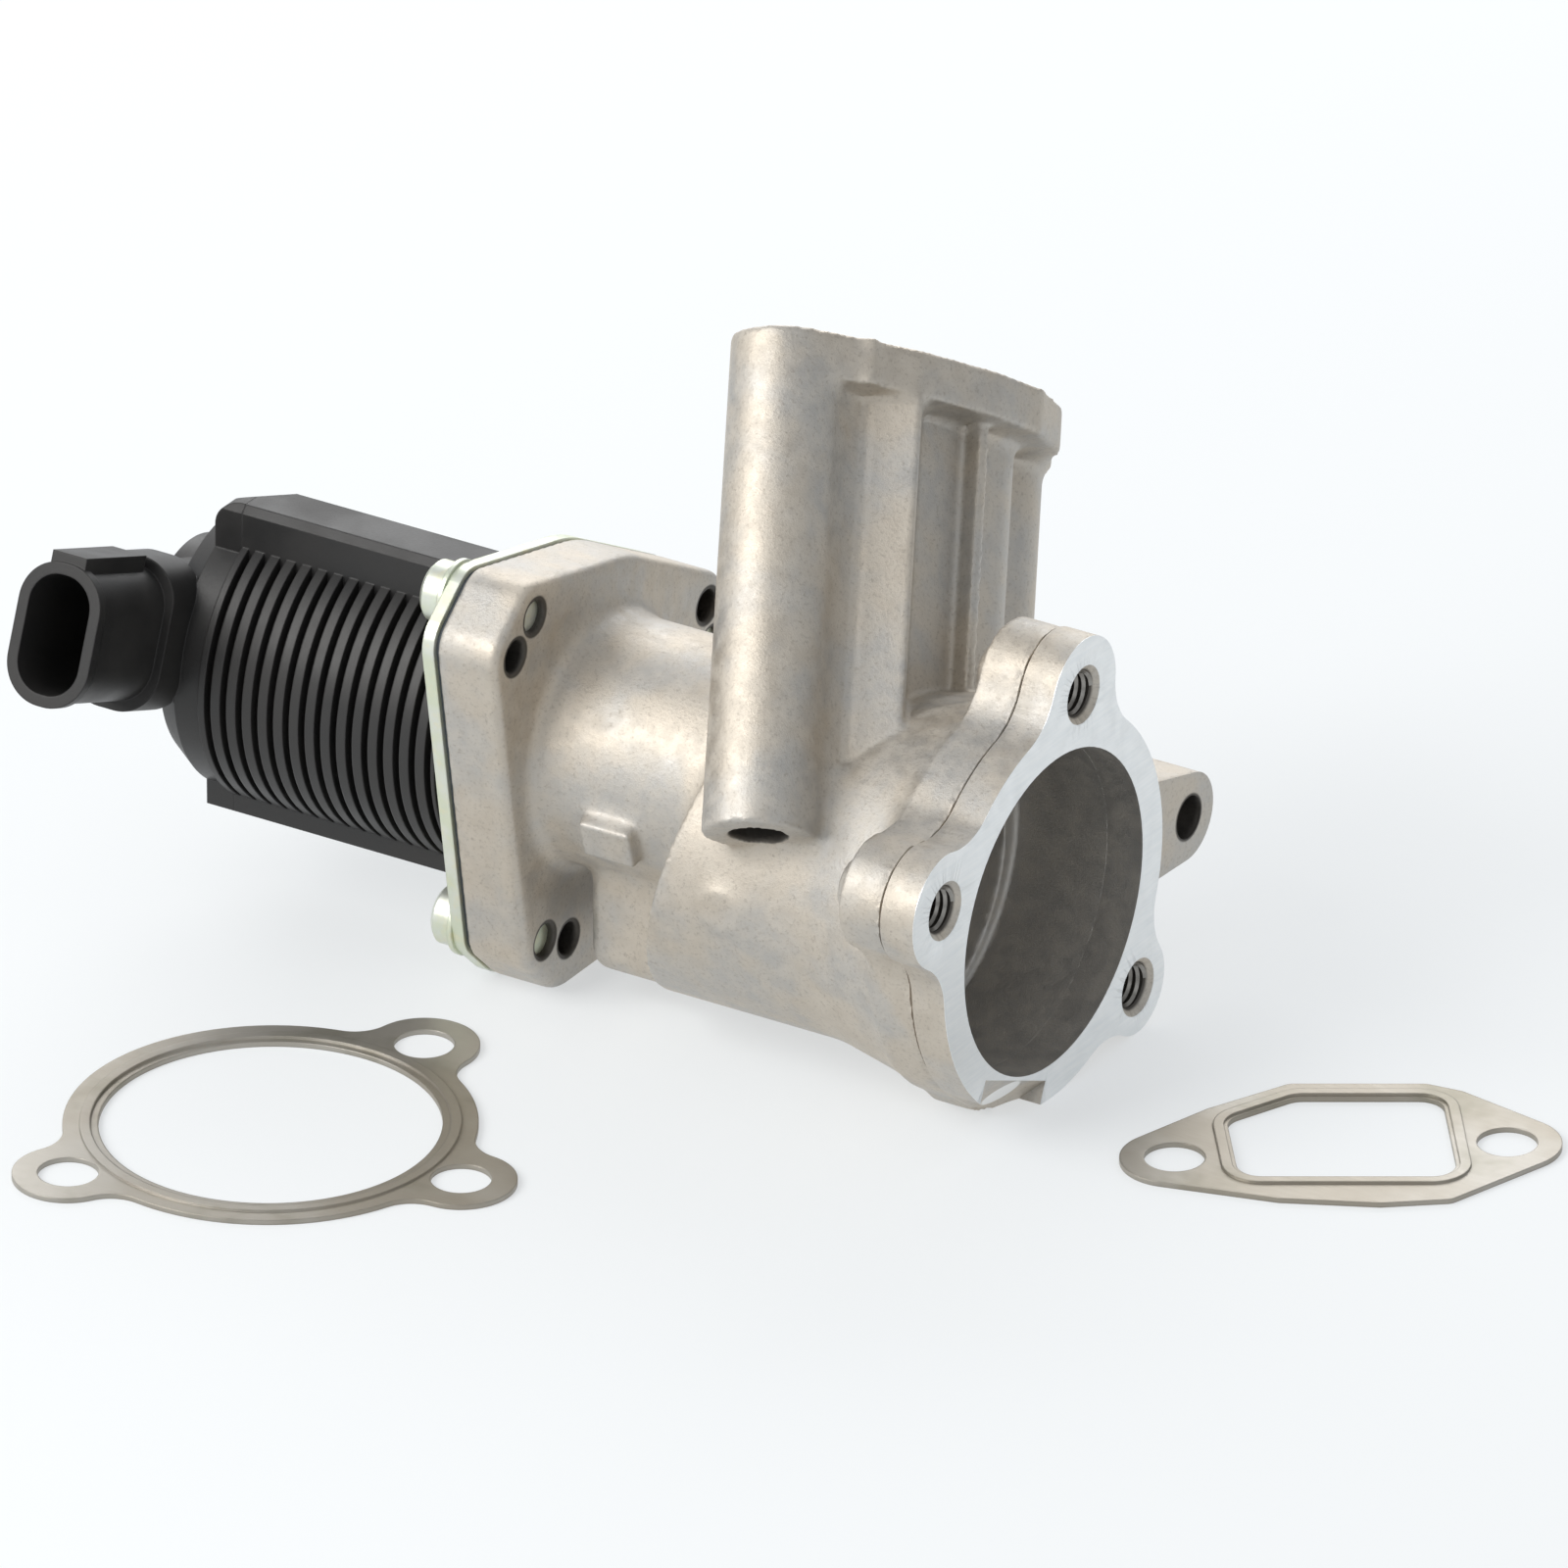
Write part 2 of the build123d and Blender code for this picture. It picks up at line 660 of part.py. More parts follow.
# Valve stem, riveted to the disc and pressed into the armature.
with BuildPart() as valve_stem:
    with BuildSketch(valve_side):
        add(profile([
            (stem_front_x, 0),
            (stem_front_x, stem_r - rivet_edge),
            (stem_front_x - rivet_edge, stem_r),
            (stem_back_x, stem_r),
            (stem_back_x, 0),
        ]))
    revolve(axis=valve_line)
valve_stem.part.label = "valve_stem"
export_step(valve_stem.part, "parts/valve_stem.step")

# Stem bush pressed into the casting.
with BuildPart() as stem_bush:
    with BuildSketch(valve_side):
        add(tube_profile(bush_front_x, bush_back_x, stem_r + bush_clear, bush_r))
    revolve(axis=valve_line)
stem_bush.part.label = "stem_bush"
export_step(stem_bush.part, "parts/stem_bush.step")

# Deposit shield on the bush's nose, against the chamber's rear wall.
with BuildPart() as deposit_shield:
    with BuildSketch(valve_side):
        add(profile([
            (chamber_back_x, bush_r),
            (chamber_back_x, shield_r),
            (chamber_back_x + shield_t + shield_rim, shield_r),
            (chamber_back_x + shield_t + shield_rim, shield_r - shield_rim_t),
            (chamber_back_x + shield_t, shield_r - shield_rim_t),
            (chamber_back_x + shield_t, bush_r),
        ]))
    revolve(axis=valve_line)
deposit_shield.part.label = "deposit_shield"
export_step(deposit_shield.part, "parts/deposit_shield.step")

# Lip seal behind the bush and the washer that keeps it in.
with BuildPart() as stem_seal:
    with BuildSketch(valve_side):
        add(profile([
            (bush_back_x, stem_r + seal_web_t),
            (bush_back_x, stem_seal_r),
            (pilot_floor_x, stem_seal_r),
            (pilot_floor_x, stem_seal_r - seal_shell_t),
            (pilot_floor_x + seal_pocket, stem_seal_r - seal_shell_t),
            (pilot_floor_x + seal_pocket, stem_r + seal_web_t),
            (pilot_floor_x + seal_lip[0], stem_r + seal_clear),
            (pilot_floor_x + seal_lip[1], stem_r + seal_clear),
        ]))
    revolve(axis=valve_line)
stem_seal.part.label = "stem_seal"
export_step(stem_seal.part, "parts/stem_seal.step")

with BuildPart() as seal_retainer:
    with BuildSketch(valve_side):
        add(tube_profile(
            pilot_floor_x, retainer_back_x, stem_r + washer_clear, stem_seal_r + retainer_lap))
    revolve(axis=valve_line)
seal_retainer.part.label = "seal_retainer"
export_step(seal_retainer.part, "parts/seal_retainer.step")

# ==== base plate and its fasteners ============================================================
screw_shank_r = m6_tap_r
screw_head_r = 4.7
screw_head_h = 3.8
screw_washer_r = 5.6
screw_washer_t = 0.8
screw_socket_r = 2.3
screw_socket_depth = 2.2
screw_edge = 0.7
screw_tip_gap = 1.2             # the tip stops this far short of the flange's face
screw_tip_x = act_face_x - screw_tip_gap

plate_outline = act_outline()
gasket_inset = 0.8
gasket_outline = act_outline(gasket_inset)
with BuildPart() as plate_gasket:
    with BuildSketch(ring_plane(act_back_x, valve_z)):
        add(gasket_outline)
        Circle(pilot_r, mode=Mode.SUBTRACT)
    extrude(amount=-gasket_t)
    with BuildSketch(ring_plane(act_back_x)):
        with Locations(*act_holes, *act_screws):
            Circle(m6_r)
    extrude(amount=-gasket_t, mode=Mode.SUBTRACT)
plate_gasket.part.label = "plate_gasket"
export_step(plate_gasket.part, "parts/plate_gasket.step")

with BuildPart() as base_plate:
    with BuildSketch(ring_plane(plate_front_x, valve_z)):
        add(plate_outline)
        Circle(pilot_r, mode=Mode.SUBTRACT)
    extrude(amount=-plate_t)
    with BuildSketch(ring_plane(plate_front_x)):
        with Locations(*act_screws):
            Circle(screw_shank_r)
    extrude(amount=-plate_t, mode=Mode.SUBTRACT)
base_plate.part.label = "base_plate"
export_step(base_plate.part, "parts/base_plate.step")

# Three pan-head screws with captive washers, six-sided sockets.
with BuildPart() as mounting_screws:
    with BuildSketch(ring_plane(screw_tip_x)):
        with Locations(*act_screws):
            Circle(screw_shank_r)
    extrude(amount=plate_back_x - screw_tip_x)
    with BuildSketch(ring_plane(plate_back_x)):
        with Locations(*act_screws):
            Circle(screw_washer_r)
    extrude(amount=-screw_washer_t)
    with BuildSketch(ring_plane(plate_back_x - screw_washer_t)):
        with Locations(*act_screws):
            Circle(screw_head_r)
    extrude(amount=-screw_head_h)
    chamfer(mounting_screws.faces().sort_by(Axis.X)[:3].edges(), length=screw_edge)
    with BuildSketch(ring_plane(plate_back_x - screw_washer_t - screw_head_h)):
        with Locations(*act_screws):
            RegularPolygon(screw_socket_r, 6)
    extrude(amount=screw_socket_depth, mode=Mode.SUBTRACT)
mounting_screws.part.label = "mounting_screws"
export_step(mounting_screws.part, "parts/mounting_screws.step")

# ==== solenoid ================================================================================
sleeve_outer_r = bobbin_bore_r - sleeve_clear
sleeve_inner_r = sleeve_outer_r - sleeve_wall
armature_r = sleeve_inner_r - armature_clear
can_inner_r = can_r - can_wall
pole_flange_back_x = plate_back_x - pole_flange_t
spring_front_x = pole_back_x + spring_pole_pocket
spring_back_x = armature_front_x - spring_arm_pocket
spigot_r = pilot_r
seal_groove_x = plate_front_x + oring_back

# Pole piece: spigot in the casting, flange in the can, core in the coil, pocket for the spring.
with BuildPart() as pole_piece:
    with BuildSketch(valve_side):
        add(profile([
            (retainer_back_x, stem_r + washer_clear),
            (retainer_back_x, spigot_r),
            (seal_groove_x + 2 * oring_cord_r, spigot_r),
            (seal_groove_x + 2 * oring_cord_r, spigot_r - 2 * oring_cord_r),
            (seal_groove_x, spigot_r - 2 * oring_cord_r),
            (seal_groove_x, spigot_r),
            (plate_back_x, spigot_r),
            (plate_back_x, can_inner_r),
            (pole_flange_back_x, can_inner_r),
            (pole_flange_back_x, sleeve_inner_r),
            (pole_back_x, sleeve_inner_r),
            (pole_back_x, spring_pocket_r),
            (spring_front_x, spring_pocket_r),
            (spring_front_x, stem_r + washer_clear),
        ]))
    revolve(axis=valve_line)
pole_piece.part.label = "pole_piece"
export_step(pole_piece.part, "parts/pole_piece.step")

with BuildPart() as pilot_seal:
    with BuildSketch(valve_side):
        with Locations((seal_groove_x + oring_cord_r, spigot_r - oring_cord_r)):
            Circle(oring_cord_r)
    revolve(axis=valve_line)
pilot_seal.part.label = "pilot_seal"
export_step(pilot_seal.part, "parts/pilot_seal.step")

# Return spring: from the pocket in the pole to the pocket in the armature.
with BuildPart() as return_spring:
    coil_len = spring_front_x - spring_back_x - 2 * spring_wire_r
    coil_start = Vector(spring_back_x + spring_wire_r, 0, valve_z)
    with BuildLine():
        Helix(
            pitch=coil_len / spring_turns,
            height=coil_len,
            radius=spring_mean_r,
            center=coil_start,
            direction=(1, 0, 0),
        )
    coil_edge = return_spring.pending_edges[0]
    with BuildSketch(Plane(origin=coil_edge @ 0, z_dir=coil_edge % 0)):
        Circle(spring_wire_r)
    sweep()
return_spring.part.label = "return_spring"
export_step(return_spring.part, "parts/return_spring.step")

# Armature with the spring pocket and the blind bore for the stem.
with BuildPart() as armature:
    with BuildSketch(valve_side):
        add(profile([
            (armature_front_x, spring_pocket_r),
            (armature_front_x, armature_r),
            (armature_back_x, armature_r),
            (armature_back_x, 0),
            (stem_back_x, 0),
            (stem_back_x, stem_r),
            (spring_back_x, stem_r),
            (spring_back_x, spring_pocket_r),
        ]))
    revolve(axis=valve_line)
armature.part.label = "armature"
export_step(armature.part, "parts/armature.step")

with BuildPart() as guide_sleeve:
    with BuildSketch(valve_side):
        add(tube_profile(bobbin_front_x, can_back_x, sleeve_inner_r, sleeve_outer_r))
    revolve(axis=valve_line)
guide_sleeve.part.label = "guide_sleeve"
export_step(guide_sleeve.part, "parts/guide_sleeve.step")

with BuildPart() as coil_bobbin:
    with BuildSketch(valve_side):
        add(profile([
            (bobbin_front_x, bobbin_bore_r),
            (bobbin_front_x, bobbin_flange_r),
            (bobbin_front_x - bobbin_flange_t, bobbin_flange_r),
            (bobbin_front_x - bobbin_flange_t, bobbin_bore_r + bobbin_wall),
            (bobbin_back_x + bobbin_flange_t, bobbin_bore_r + bobbin_wall),
            (bobbin_back_x + bobbin_flange_t, bobbin_flange_r),
            (bobbin_back_x, bobbin_flange_r),
            (bobbin_back_x, bobbin_bore_r),
        ]))
    revolve(axis=valve_line)
coil_bobbin.part.label = "coil_bobbin"
export_step(coil_bobbin.part, "parts/coil_bobbin.step")

with BuildPart() as coil_winding:
    with BuildSketch(valve_side):
        add(tube_profile(
            bobbin_front_x - bobbin_flange_t,
            bobbin_back_x + bobbin_flange_t,
            bobbin_bore_r + bobbin_wall,
            winding_r,
        ))
    revolve(axis=valve_line)
coil_winding.part.label = "coil_winding"
export_step(coil_winding.part, "parts/coil_winding.step")

with BuildPart() as flux_can:
    with BuildSketch(valve_side):
        add(tube_profile(plate_back_x, can_back_x, can_inner_r, can_r))
    revolve(axis=valve_line)
flux_can.part.label = "flux_can"
export_step(flux_can.part, "parts/flux_can.step")

# Two coil leads run back through the yoke to the sensor board.
lead_r = 0.6
lead_hole_r = 1.3
lead_y = -13.0
lead_half = 3.0
lead_places = ((lead_y, valve_z + lead_half), (lead_y, valve_z - lead_half))
board_front_x = -135.8
board_t = 1.2
board_r = 16.4
with BuildPart() as rear_yoke:
    with BuildSketch(valve_side):
        add(tube_profile(can_back_x + yoke_t, can_back_x, sleeve_outer_r, can_inner_r))
    revolve(axis=valve_line)
    with BuildSketch(ring_plane(can_back_x)):
        with Locations(*lead_places):
            Circle(lead_hole_r)
    extrude(amount=yoke_t, mode=Mode.SUBTRACT)
rear_yoke.part.label = "rear_yoke"
export_step(rear_yoke.part, "parts/rear_yoke.step")

with BuildPart() as coil_leads:
    with BuildSketch(ring_plane(bobbin_back_x)):
        with Locations(*lead_places):
            Circle(lead_r)
    extrude(amount=board_front_x - bobbin_back_x)
coil_leads.part.label = "coil_leads"
export_step(coil_leads.part, "parts/coil_leads.step")

with BuildPart() as sensor_board:
    with BuildSketch(ring_plane(board_front_x, valve_z)):
        Circle(board_r)
    extrude(amount=-board_t)
sensor_board.part.label = "sensor_board"
export_step(sensor_board.part, "parts/sensor_board.step")

with BuildPart() as sensor_magnet:
    with BuildSketch(ring_plane(armature_back_x, valve_z)):
        Circle(magnet_r)
    extrude(amount=-magnet_len)
sensor_magnet.part.label = "sensor_magnet"
export_step(sensor_magnet.part, "parts/sensor_magnet.step")

# ==== plastic cover ===========================================================================
cover_front_x = plate_back_x - cover_front_gap
cover_side_y = -11.0
cover_top_edge_y = -3.0
cover_far_y = 19.0              # where the slanted top meets the fins again
cover_block_chamfer = 1.1
cover_low_half = 8.5
cover_low_side = 14.0
cover_low_edge = -21.8
cover_corner_x = -138.9         # the top's far rear corner is cut back from here
cover_corner_y = -10.5
cover_corner_dir = (-7.5, 8.8, 20.0)
cover_corner_reach = 80.0
cover_root_z = 10.0             # the blocks start inside the finned shell,
cover_root_in = 4.0
cover_low_root_z = -12.0
fin_start = 1.2                 # first groove from the cover's front


def cover_section():
    """Blocks of the cover above and below the fins, across the valve axis."""
    far_z = cover_top + cover_slant * (cover_far_y - cover_top_edge_y)
    with BuildSketch() as section:
        with BuildLine():
            Polyline(
                (cover_side_y, cover_root_z),
                (cover_side_y, cover_top - cover_block_chamfer),
                (cover_side_y + cover_block_chamfer, cover_top),
                (cover_top_edge_y, cover_top),
                (cover_far_y, far_z),
                (cover_far_y - cover_root_in, cover_root_z),
                close=True,
            )
        make_face()
        with BuildLine():
            Polyline(
                (-cover_low_side, cover_low_root_z),
                (-cover_low_side, cover_low_edge),
                (-cover_low_half, cover_low),
                (cover_low_half, cover_low),
                (cover_low_side, cover_low_edge),
                (cover_low_side, cover_low_root_z),
                close=True,
            )
        make_face()
    return section.sketch


def slant_cut():
    """What lies outside the slanted far upper side."""
    reach = 40.0
    with BuildSketch() as section:
        with BuildLine():
            Polyline(
                (cover_top_edge_y - reach, cover_top - cover_slant * reach),
                (cover_top_edge_y + reach, cover_top + cover_slant * reach),
                (cover_top_edge_y + reach, cover_top + reach),
                (cover_top_edge_y - reach, cover_top + reach),
                close=True,
            )
        make_face()
    return section.sketch


top_corner = Plane(
    origin=(cover_corner_x, cover_corner_y, valve_z + cover_top),
    z_dir=cover_corner_dir,
)


def fin_comb():
    """Section of the finned shell: grooves of fin_gap at each fin_pitch."""
    first_groove_x = cover_front_x - fin_start
    points = [(cover_front_x, can_r), (cover_front_x, cover_r)]
    for i in range(fin_count):
        groove_x = first_groove_x - i * fin_pitch
        points.append((groove_x + fin_gap / 2, cover_r))
        points.append((groove_x + fin_gap / 2, cover_core_r))
        points.append((groove_x - fin_gap / 2, cover_core_r))
        points.append((groove_x - fin_gap / 2, cover_r))
    points += [(cover_back_x, cover_r), (cover_back_x, can_r)]
    return profile(points)


cover_blocks = cover_section()
cover_cut = slant_cut()
cover_bore_r = can_r + can_clear
cover_len = cover_front_x - cover_back_x
with BuildPart() as solenoid_cover:
    with BuildSketch(valve_side):
        add(fin_comb())
    revolve(axis=valve_line)
    with BuildSketch(ring_plane(cover_front_x, valve_z)):
        add(cover_cut)
    extrude(amount=-cover_len, mode=Mode.SUBTRACT)
    with BuildSketch(ring_plane(cover_front_x, valve_z)):
        add(cover_blocks)
    extrude(amount=-cover_len)
    with BuildSketch(top_corner):
        Rectangle(cover_corner_reach, cover_corner_reach)
    extrude(amount=cover_top, mode=Mode.SUBTRACT)
    with BuildSketch(ring_plane(cover_front_x, valve_z)):
        Circle(cover_bore_r)
    extrude(amount=-cover_len, mode=Mode.SUBTRACT)
solenoid_cover.part.label = "solenoid_cover"
export_step(solenoid_cover.part, "parts/solenoid_cover.step")

# ==== end cap and connector ===================================================================
cap_cavity_r = board_r
cap_cavity_x = -141.4
cap_block_x = -139.4
cap_top_round = 4.0             # rounding of the blocks' rear ends
cap_low_round = 2.2
conn_dir = (0, -sin(radians(conn_angle)), cos(radians(conn_angle)))
conn_mouth = Plane(
    origin=(conn_x, conn_mouth_r * conn_dir[1], valve_z + conn_mouth_r * conn_dir[2]),
    x_dir=(1, 0, 0),
    z_dir=conn_dir,
)
conn_len = conn_mouth_r - conn_root_r
conn_corner_cut = 0.4           # its ends are a little flatter than half circles
conn_sink = 15.0                # it starts this deep inside the cap
conn_collar_len = 8.0
conn_collar_grow = 1.4
latch_front = 0.3               # the latch rib starts this far behind the mouth
latch_root = 0.5
conn_cover_gap = 0.4            # where the connector's foot overhangs the cover
cap_seal_out = 2.2              # the seal's middle from the cavity's wall
cap_seal_half_w = 0.8
cap_seal_t = 1.4
seal_mean_r = cap_cavity_r + cap_seal_out
pin_places = [(0, (i - (pin_count - 1) / 2) * pin_pitch) for i in range(pin_count)]
pin_front = 14.0                # pin tips stand this far inside the mouth
pin_root_r = 12.0               # their inner ends, from the valve axis
pin_total = conn_mouth_r - pin_front - pin_root_r
pin_leg_r = 0.45                # round legs lead from the pins' inner ends to the board
pin_leg_at = pin_root_r + pin_leg_r
pin_side = (cos(radians(conn_angle)), sin(radians(conn_angle)))
pin_leg_places = [
    (
        pin_leg_at * conn_dir[1] + row * pin_side[0],
        valve_z + pin_leg_at * conn_dir[2] + row * pin_side[1],
    )
    for _, row in pin_places
]
board_back_x = board_front_x - board_t
pin_leg_len = board_back_x - conn_x

grown_blocks = offset(cover_blocks, amount=conn_cover_gap)


def end_rounding(edge_z, radius, inward):
    """What the rounding takes from a block's rear edge, seen from the side."""
    with BuildSketch() as corner:
        with Locations((cap_block_x, edge_z)):
            Rectangle(2 * radius, 2 * radius)
        with Locations((cap_block_x + radius, edge_z + inward)):
            Circle(radius, mode=Mode.SUBTRACT)
    return corner.sketch


with BuildPart() as end_cap:
    with BuildSketch(valve_side):
        add(profile([
            (cover_back_x, 0),
            (cover_back_x, cap_r),
            (cap_rim_x, cap_r),
            (cap_back_x, cap_end_r),
            (cap_back_x, cap_boss_r),
            (cap_boss_x, cap_boss_r - cap_boss_edge),
            (cap_boss_x, 0),
        ]))
    revolve(axis=valve_line)
    with BuildSketch(ring_plane(cover_back_x, valve_z)):
        add(cover_cut)
    extrude(amount=cap_boss_x - cover_back_x, mode=Mode.SUBTRACT)
    with BuildSketch(ring_plane(cover_back_x, valve_z)):
        add(cover_blocks)
    extrude(amount=cap_block_x - cover_back_x)
    with BuildSketch(top_corner):
        Rectangle(cover_corner_reach, cover_corner_reach)
    extrude(amount=cover_top, mode=Mode.SUBTRACT)
    with BuildSketch(valve_side):
        add(end_rounding(cover_top, cap_top_round, -cap_top_round))
        add(end_rounding(cover_low, cap_low_round, cap_low_round))
    extrude(amount=cover_r, both=True, mode=Mode.SUBTRACT)
    with BuildSketch(conn_mouth):
        RectangleRounded(2 * conn_half_x, 2 * conn_half_v, conn_half_x - conn_corner_cut)
    extrude(amount=-conn_len - conn_sink)
    with BuildSketch(conn_mouth):
        RectangleRounded(
            2 * (conn_half_x + conn_lip),
            2 * (conn_half_v + conn_lip),
            conn_half_x,
        )
    extrude(amount=-conn_lip_len)
    with BuildSketch(conn_mouth.offset(-conn_len)):
        RectangleRounded(
            2 * (conn_half_x + conn_collar_grow),
            2 * (conn_half_v + conn_collar_grow),
            conn_half_x,
        )
    extrude(amount=conn_collar_len)
    with BuildSketch(conn_mouth.offset(-latch_front)):
        with Locations((0, conn_half_v + (latch_h - latch_root) / 2)):
            Rectangle(latch_w, latch_h + latch_root)
    extrude(amount=-latch_len)
    with BuildSketch(conn_mouth):
        RectangleRounded(
            2 * (conn_half_x - conn_wall),
            2 * (conn_half_v - conn_wall),
            conn_half_x - conn_wall - conn_corner_cut,
        )
    extrude(amount=-conn_depth, mode=Mode.SUBTRACT)
    with BuildSketch(ring_plane(cover_back_x, valve_z)):
        Circle(cover_r + conn_cover_gap)
        add(grown_blocks)
    extrude(amount=2 * conn_half_x, mode=Mode.SUBTRACT)
    with BuildSketch(ring_plane(cover_back_x, valve_z)):
        Circle(cap_cavity_r)
    extrude(amount=cap_cavity_x - cover_back_x, mode=Mode.SUBTRACT)
    with BuildSketch(ring_plane(cover_back_x, valve_z)):
        Circle(seal_mean_r + cap_seal_half_w)
        Circle(seal_mean_r - cap_seal_half_w, mode=Mode.SUBTRACT)
    extrude(amount=-cap_seal_t, mode=Mode.SUBTRACT)
    with BuildSketch(conn_mouth.offset(-pin_front)):
        with Locations(*pin_places):
            Rectangle(pin_w, pin_w)
    extrude(amount=-pin_total, mode=Mode.SUBTRACT)
    with BuildSketch(ring_plane(board_back_x)):
        with Locations(*pin_leg_places):
            Circle(pin_leg_r)
    extrude(amount=-pin_leg_len, mode=Mode.SUBTRACT)
end_cap.part.label = "end_cap"
export_step(end_cap.part, "parts/end_cap.step")

with BuildPart() as terminal_pins:
    with BuildSketch(conn_mouth.offset(-pin_front)):
        with Locations(*pin_places):
            Rectangle(pin_w, pin_w)
    extrude(amount=-pin_total)
    with BuildSketch(ring_plane(board_back_x)):
        with Locations(*pin_leg_places):
            Circle(pin_leg_r)
    extrude(amount=-pin_leg_len)
terminal_pins.part.label = "terminal_pins"
export_step(terminal_pins.part, "parts/terminal_pins.step")

with BuildPart() as cap_seal:
    with BuildSketch(ring_plane(cover_back_x, valve_z)):
        Circle(seal_mean_r + cap_seal_half_w)
        Circle(seal_mean_r - cap_seal_half_w, mode=Mode.SUBTRACT)
    extrude(amount=-cap_seal_t)
cap_seal.part.label = "cap_seal"
export_step(cap_seal.part, "parts/cap_seal.step")

# ==== loose gaskets on the surface ============================================================
round_gasket_plane = Plane(
    origin=(round_gasket_at[0], round_gasket_at[1], floor_z)).rotated((0, 0, round_gasket_turn))
round_gasket_angles = [a - air_hole_angles[0] for a in air_hole_angles]
round_gasket_holes = [
    (air_hole_pcd_r * cos(radians(a)), air_hole_pcd_r * sin(radians(a)))
    for a in round_gasket_angles
]
round_gasket_lobes = [(x, y, round_gasket_lobe_r) for x, y in round_gasket_holes]
gasket_ring = lobed_ring(round_gasket_ring_r, round_gasket_lobes, round_gasket_waist_r)
bead_r = round_gasket_inner_r + round_bead_out
with BuildPart() as round_gasket:
    with BuildSketch(round_gasket_plane):
        add(gasket_ring)
        Circle(round_gasket_inner_r, mode=Mode.SUBTRACT)
        with Locations(*round_gasket_holes):
            Circle(gasket_hole_r, mode=Mode.SUBTRACT)
    extrude(amount=sheet_t)
    with BuildSketch(round_gasket_plane.offset(sheet_t)):
        Circle(bead_r + bead_w / 2)
        Circle(bead_r - bead_w / 2, mode=Mode.SUBTRACT)
    extrude(amount=bead_h)
round_gasket.part.label = "round_gasket"
export_step(round_gasket.part, "parts/round_gasket.step")

port_gasket_plane = Plane(
    origin=(port_gasket_at[0], port_gasket_at[1], floor_z)).rotated((0, 0, port_gasket_turn))
port_sheet = port_outline(port_gasket_inset)
port_hole_shape = port_opening(port_gasket_grow)
port_bead_outer = port_opening(port_gasket_grow + port_bead_out + bead_w)
port_bead_inner = port_opening(port_gasket_grow + port_bead_out)
with BuildPart() as port_gasket:
    with BuildSketch(port_gasket_plane):
        add(port_sheet)
        add(port_hole_shape, mode=Mode.SUBTRACT)
        with Locations(near_hole, far_hole):
            Circle(gasket_hole_r, mode=Mode.SUBTRACT)
    extrude(amount=sheet_t)
    with BuildSketch(port_gasket_plane.offset(sheet_t)):
        add(port_bead_outer)
        add(port_bead_inner, mode=Mode.SUBTRACT)
    extrude(amount=bead_h)
port_gasket.part.label = "port_gasket"
export_step(port_gasket.part, "parts/port_gasket.step")
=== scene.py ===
# EGR valve: a cast body with a solenoid-driven poppet valve, two loose gaskets beside it.
from math import cos, pi, radians, sin

import bmesh
import bpy
import numpy as np
from mathutils import Matrix, Vector


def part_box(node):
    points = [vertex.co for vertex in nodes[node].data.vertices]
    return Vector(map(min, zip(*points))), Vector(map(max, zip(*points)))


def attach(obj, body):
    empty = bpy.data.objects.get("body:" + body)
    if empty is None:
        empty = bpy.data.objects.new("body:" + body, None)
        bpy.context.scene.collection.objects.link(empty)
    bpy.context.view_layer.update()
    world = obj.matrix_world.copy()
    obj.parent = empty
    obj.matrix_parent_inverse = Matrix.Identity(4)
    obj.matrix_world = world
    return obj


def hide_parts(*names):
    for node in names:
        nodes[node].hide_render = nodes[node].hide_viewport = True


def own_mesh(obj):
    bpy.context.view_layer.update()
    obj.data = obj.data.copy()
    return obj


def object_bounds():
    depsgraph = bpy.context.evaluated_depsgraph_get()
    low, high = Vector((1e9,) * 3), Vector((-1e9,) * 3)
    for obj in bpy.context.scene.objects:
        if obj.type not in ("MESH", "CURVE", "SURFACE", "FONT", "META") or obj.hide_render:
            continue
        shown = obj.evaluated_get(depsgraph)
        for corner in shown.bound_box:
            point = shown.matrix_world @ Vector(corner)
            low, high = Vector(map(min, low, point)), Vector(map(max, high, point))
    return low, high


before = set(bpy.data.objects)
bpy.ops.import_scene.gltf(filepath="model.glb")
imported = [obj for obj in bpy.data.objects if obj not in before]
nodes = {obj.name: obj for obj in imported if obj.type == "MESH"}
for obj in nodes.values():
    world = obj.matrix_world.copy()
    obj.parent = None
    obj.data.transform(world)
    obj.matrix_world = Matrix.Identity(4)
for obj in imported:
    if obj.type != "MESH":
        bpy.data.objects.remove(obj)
cad_low, cad_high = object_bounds()

# ---- Casting -------------------------------------------------------------------------------
# Body of the valve: gravity-cast aluminium, blasted, with blends where its forms meet.
# The round flange, the port flange and the screw holes are machined afterwards.
mm = 0.001
face_line_x = -6.1              # middle of the groove behind the machined layer
unblended_x = -7.2              # blends stay behind this
voxel = 0.5
blend_passes = 46
casting_share = 0.34            # share of the faces that are kept after blending
sink_inner_r = 3.3              # countersinks of the tapped holes
sink_outer_r = 4.9
sink_depth = 1.6
sink_x = -0.5
foot_angle = 155.7              # the foot's front is cut slanting, this far from the top
foot_flat_r = 25.5              # where the cut starts, from the bore's middle
foot_cut = 24.0
foot_cut_across = 18.5
foot_spot_at = (-10.6, -26.0)   # a bright round mark on the cut
foot_spot_r = 2.7
bore_r = 25.0
bore_front_x = -6.15            # the bored wall behind the machined layer
bore_end_x = -21.4
bored_r = 24.96
bored_back_r = 25.5
bore_steps = 128
bore_turn = (-22.0, 0.0, -2.0)  # middle of the round hollow where the bore turns to the seat
bore_turn_r = 22.0
soot_r = 26.3                   # the bore is dulled by exhaust, this deep
soot_x = (-45.0, -0.1)
valve_z = 7.8
seat_clear_r = 14.0             # blends stay this far off the valve's and the actuator's axis
pilot_clear_r = 18.0
